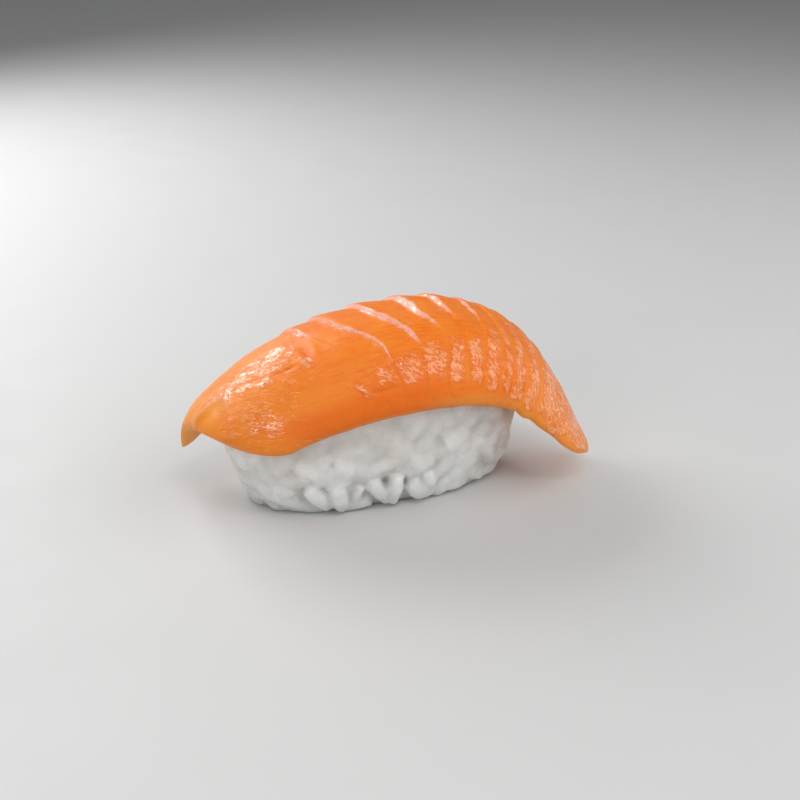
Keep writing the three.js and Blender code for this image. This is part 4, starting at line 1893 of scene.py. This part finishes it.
    def fuse(self, parts: Sequence[Thing], laid: dict[str, Array], own: Array) -> Thing:
        """Stick the core and its grains together, as pressed rice sticks.

        Args:
            parts: The core and the grains, which are used up.
            laid: The outer grains' places, whose tints the fused rice takes.
            own: Which of them keep their own form.

        Returns:
            The fused rice as one closed mesh.
        """
        obj = Bench.join(parts, "rice_grains")
        remesh = obj.modifiers.new("fuse", "REMESH")
        remesh.mode = "VOXEL"
        remesh.voxel_size = self.fuse_size * MM
        bpy.ops.object.modifier_apply(modifier=remesh.name)
        crisp = self.softened(obj, self.fuse_rounds)
        melted = self.softened(obj, self.melt_rounds)
        pressed = crisp[:, 2] + self.melt_lumps.at(crisp)
        pressed = pressed + self.melt_more * smoothstep(crisp[:, 0], *self.melt_more_ease)
        share = smoothstep(pressed, self.melt_from, self.melt_full)
        kept = self.relief_low + (self.relief_high - self.relief_low) * share
        foot = np.arange(len(own)) < self.foot_grains
        for relief, keep in ((self.own_relief, own), (self.foot_relief, foot)):
            kept = np.maximum(kept, relief * self.standing(crisp, self.chosen(laid, keep)))
        points, hollow = self.hollowed(melted + kept[:, None] * (crisp - melted))
        points[:, 2] = np.maximum(points[:, 2], self.floor_gap)
        Bench.place(obj, points)
        tint = np.random.default_rng(self.seed + 9).random(len(laid["centre"]))
        shade = self.foot_shade * faded(points[:, 2], *self.foot_shade_ease)
        Bench.mark(obj, "tint", tint[self.nearest_grain(laid, points)])
        # Painted shade in crevices and painted bounce light from the flesh, kept in the depth mark.
        Bench.mark(obj, "depth", self.bounce_and_crevice_share(points))
        Bench.mark(obj, "hollow", np.maximum(hollow, shade))
        bpy.ops.object.shade_smooth()
        return obj

    def softened(self, obj: Thing, rounds: int) -> Array:
        """Soften a mesh.

        Args:
            obj: The mesh, which is changed.
            rounds: How many rounds of smoothing it gets.

        Returns:
            Its vertices' new places in millimetres.
        """
        soften = obj.modifiers.new("soften", "SMOOTH")
        soften.factor = self.soft_factor
        soften.iterations = rounds
        bpy.ops.object.modifier_apply(modifier=soften.name)
        return Bench.points(obj) / MM

    def bounce_and_crevice_share(self, points: Array) -> Array:
        """How much painted shade and painted orange bounce light the rice gets, from its depth
        inside the outline and the flesh above it, from 0 to 1.
        """
        deep = smoothstep(self.outline_depth(points), *self.deep_ease)
        near_flesh = self.flesh_bounce * smoothstep(points[:, 2], *self.flesh_heights)
        near_flesh = near_flesh * hump(points[:, 0], self.flesh_middle, self.flesh_width)
        patchy = self.bounce_least + self.bounce_patches.at(points)
        bounce_and_crevice_shade = self.crevice_shade * deep + self.flesh_share * near_flesh * patchy
        return np.clip(bounce_and_crevice_shade, 0, 1)

    def outline_depth(self, points: Array) -> Array:
        """How far points lie inside the heap's outline, measured level, in millimetres."""
        length, depth = self.form.reach(points[:, 2])
        offset = points[:, 1] - self.form.y
        power = self.form.squareness
        lengthwise = np.abs(points[:, 0] / np.maximum(length, self.least_reach)) ** power
        crosswise = np.abs(offset / np.maximum(depth, self.least_reach)) ** power
        ratio = (lengthwise + crosswise) ** (1 / power)
        away = np.hypot(points[:, 0], offset)
        return np.clip(away * (1 / np.maximum(ratio, 1e-3) - 1), *self.depth_span)

    @staticmethod
    def chosen(laid: dict[str, Array], keep: Array) -> dict[str, Array]:
        """The grains at the places where keep is true."""
        return {name: values[keep] for name, values in laid.items()}

    def build(self) -> Thing:
        """Lay the grains over their core, stick them together and set them on the frame.

        Returns:
            The finished heap.
        """
        chance = np.random.default_rng(self.seed)
        grain = self.grain_pattern()
        outer = self.lay(self.outer_sink, self.tries, True, chance)
        inner = self.lay(self.inner_sink, self.tries // 2, False, chance)
        own = chance.random(len(outer["length"])) < self.crisp_share
        own[:len(self.singled_out)] = True
        fused = self.fuse([
            self.core(),
            self.place_grains(grain, outer, "outer"),
            self.place_grains(grain, inner, "inner"),
        ], outer, own)
        bpy.data.objects.remove(grain)
        Bench.finish(fused, "rice", Slot.RICE, self.finish.material())
        return fused


# ------------------------------------------------------------
# Floor, light and camera
# ------------------------------------------------------------


@dataclass(frozen=True)
class SoftLight:
    """A broad soft light, aimed at the piece from a bearing and a height in degrees."""

    name: str
    bearing: float
    height: float
    distance: float
    width: float
    tall: float
    power: float
    colour: tuple[float, float, float] = (1.0, 1.0, 1.0)

    def hang(self, target: Vector) -> None:
        """Hang the light.

        Args:
            target: The point that it is aimed at, in metres.
        """
        data = bpy.data.lights.new(self.name, "AREA")
        data.shape = "RECTANGLE"
        data.size, data.size_y = self.width * MM, self.tall * MM
        data.energy, data.color = self.power, self.colour
        lamp = bpy.data.objects.new(self.name, data)
        bpy.context.scene.collection.objects.link(lamp)
        turn, up = math.radians(self.bearing), math.radians(self.height)
        away = Vector((math.sin(turn) * math.cos(up), -math.cos(turn) * math.cos(up), math.sin(up)))
        lamp.location = target + away * self.distance * MM
        lamp.rotation_mode = "QUATERNION"
        lamp.rotation_quaternion = (-away).to_track_quat("-Z", "Y")


@dataclass(frozen=True)
class Studio:
    """The pale floor, the soft lights and the camera."""

    lights: tuple[SoftLight, ...] = (
        SoftLight("shoulder_light", 54.0, 36.0, 420.0, 560.0, 300.0, 1.00),
        SoftLight("tail_light", 98.0, 9.0, 420.0, 300.0, 100.0, 0.13),
        SoftLight("rim_light", -149.0, 31.0, 420.0, 330.0, 250.0, 1.50),
        SoftLight("left_light", -48.0, 26.0, 420.0, 200.0, 150.0, 0.24),
        SoftLight("grain_light", 2.0, 62.0, 420.0, 90.0, 50.0, 0.16),
        SoftLight("top_light", -20.0, 72.0, 520.0, 420.0, 420.0, 0.42),
        SoftLight("front_fill", -30.0, 22.0, 600.0, 500.0, 300.0, 0.68),
    )
    floor_colour: Colour = (0.58, 0.58, 0.575, 1.0)
    air: Colour = (0.86, 0.87, 0.90, 1.0)
    air_strength: float = 0.23
    camera_place: tuple[float, float, float] = (-61.80, -213.29, 121.0)
    camera_aim: tuple[float, float, float] = (0.2725, 0.8644, -0.4226)
    lens: float = 57.06
    film_width: float = 36.0
    sees: Ramp = (0.01, 20.0)
    lit_middle: tuple[float, float, float] = (2.0, 0.0, 18.0)
    floor_width: float = 6.0
    floor_cells: int = 8
    floor_scale: float = 60.0
    floor_detail: float = 3.0
    floor_rough: Range = (0.3, 0.7, 0.55, 0.65)

    def floor(self) -> None:
        """Lay a wide pale floor under the piece."""
        Bench.clear()
        cells = self.floor_cells
        bpy.ops.mesh.primitive_grid_add(
            x_subdivisions=cells, y_subdivisions=cells, size=self.floor_width
        )
        ground = bpy.context.view_layer.objects.active
        ground.name = ground.data.name = "floor"
        material, board = NodeBoard.of_material("pale_floor")
        coords = board.add("ShaderNodeTexCoord").outputs["Object"]
        grain = board.noise(coords, self.floor_scale, self.floor_detail)
        board.surface({
            "Base Color": self.floor_colour,
            "Roughness": board.ranged(grain, *self.floor_rough),
        })
        ground.data.materials.append(material)

    def world(self) -> None:
        """Fill the air with a dim even light."""
        world = bpy.data.worlds.new("studio_air")
        world.use_nodes = True
        board = NodeBoard(world.node_tree)
        inputs = {"Color": self.air, "Strength": self.air_strength}
        shine = board.add("ShaderNodeBackground", inputs)
        board.add("ShaderNodeOutputWorld", {"Surface": shine.outputs[0]})
        bpy.context.scene.world = world
        bpy.context.scene.view_settings.view_transform = "Standard"

    def camera(self) -> None:
        """Set up the camera."""
        data = bpy.data.cameras.new("camera")
        data.lens = self.lens
        data.sensor_width = self.film_width
        data.clip_start, data.clip_end = self.sees
        viewer = bpy.data.objects.new("camera", data)
        bpy.context.scene.collection.objects.link(viewer)
        viewer.location = Vector(self.camera_place) * MM
        viewer.rotation_mode = "QUATERNION"
        viewer.rotation_quaternion = Vector(self.camera_aim).to_track_quat("-Z", "Y")
        bpy.context.scene.camera = viewer

    def set_up(self) -> None:
        """Set up floor, light and camera."""
        self.floor()
        self.world()
        for light in self.lights:
            light.hang(Vector(self.lit_middle) * MM)
        self.camera()


def report(piece: Thing) -> None:
    """Log a piece's name and how many triangles it has."""
    triangles = sum(len(face.vertices) - 2 for face in piece.data.polygons)
    log.info("%s has %d triangles", piece.name, triangles)


def main() -> None:
    """Build every piece in order."""
    logging.basicConfig(level=logging.INFO, format="%(name)s: %(message)s")
    salmon = SalmonSlice()
    flesh = salmon.build()
    report(flesh)
    report(RiceHeap(underside=salmon.underside()).build())
    Studio().set_up()
    log.info("floor, light and camera are set")


if __name__ == "__main__":
    main()
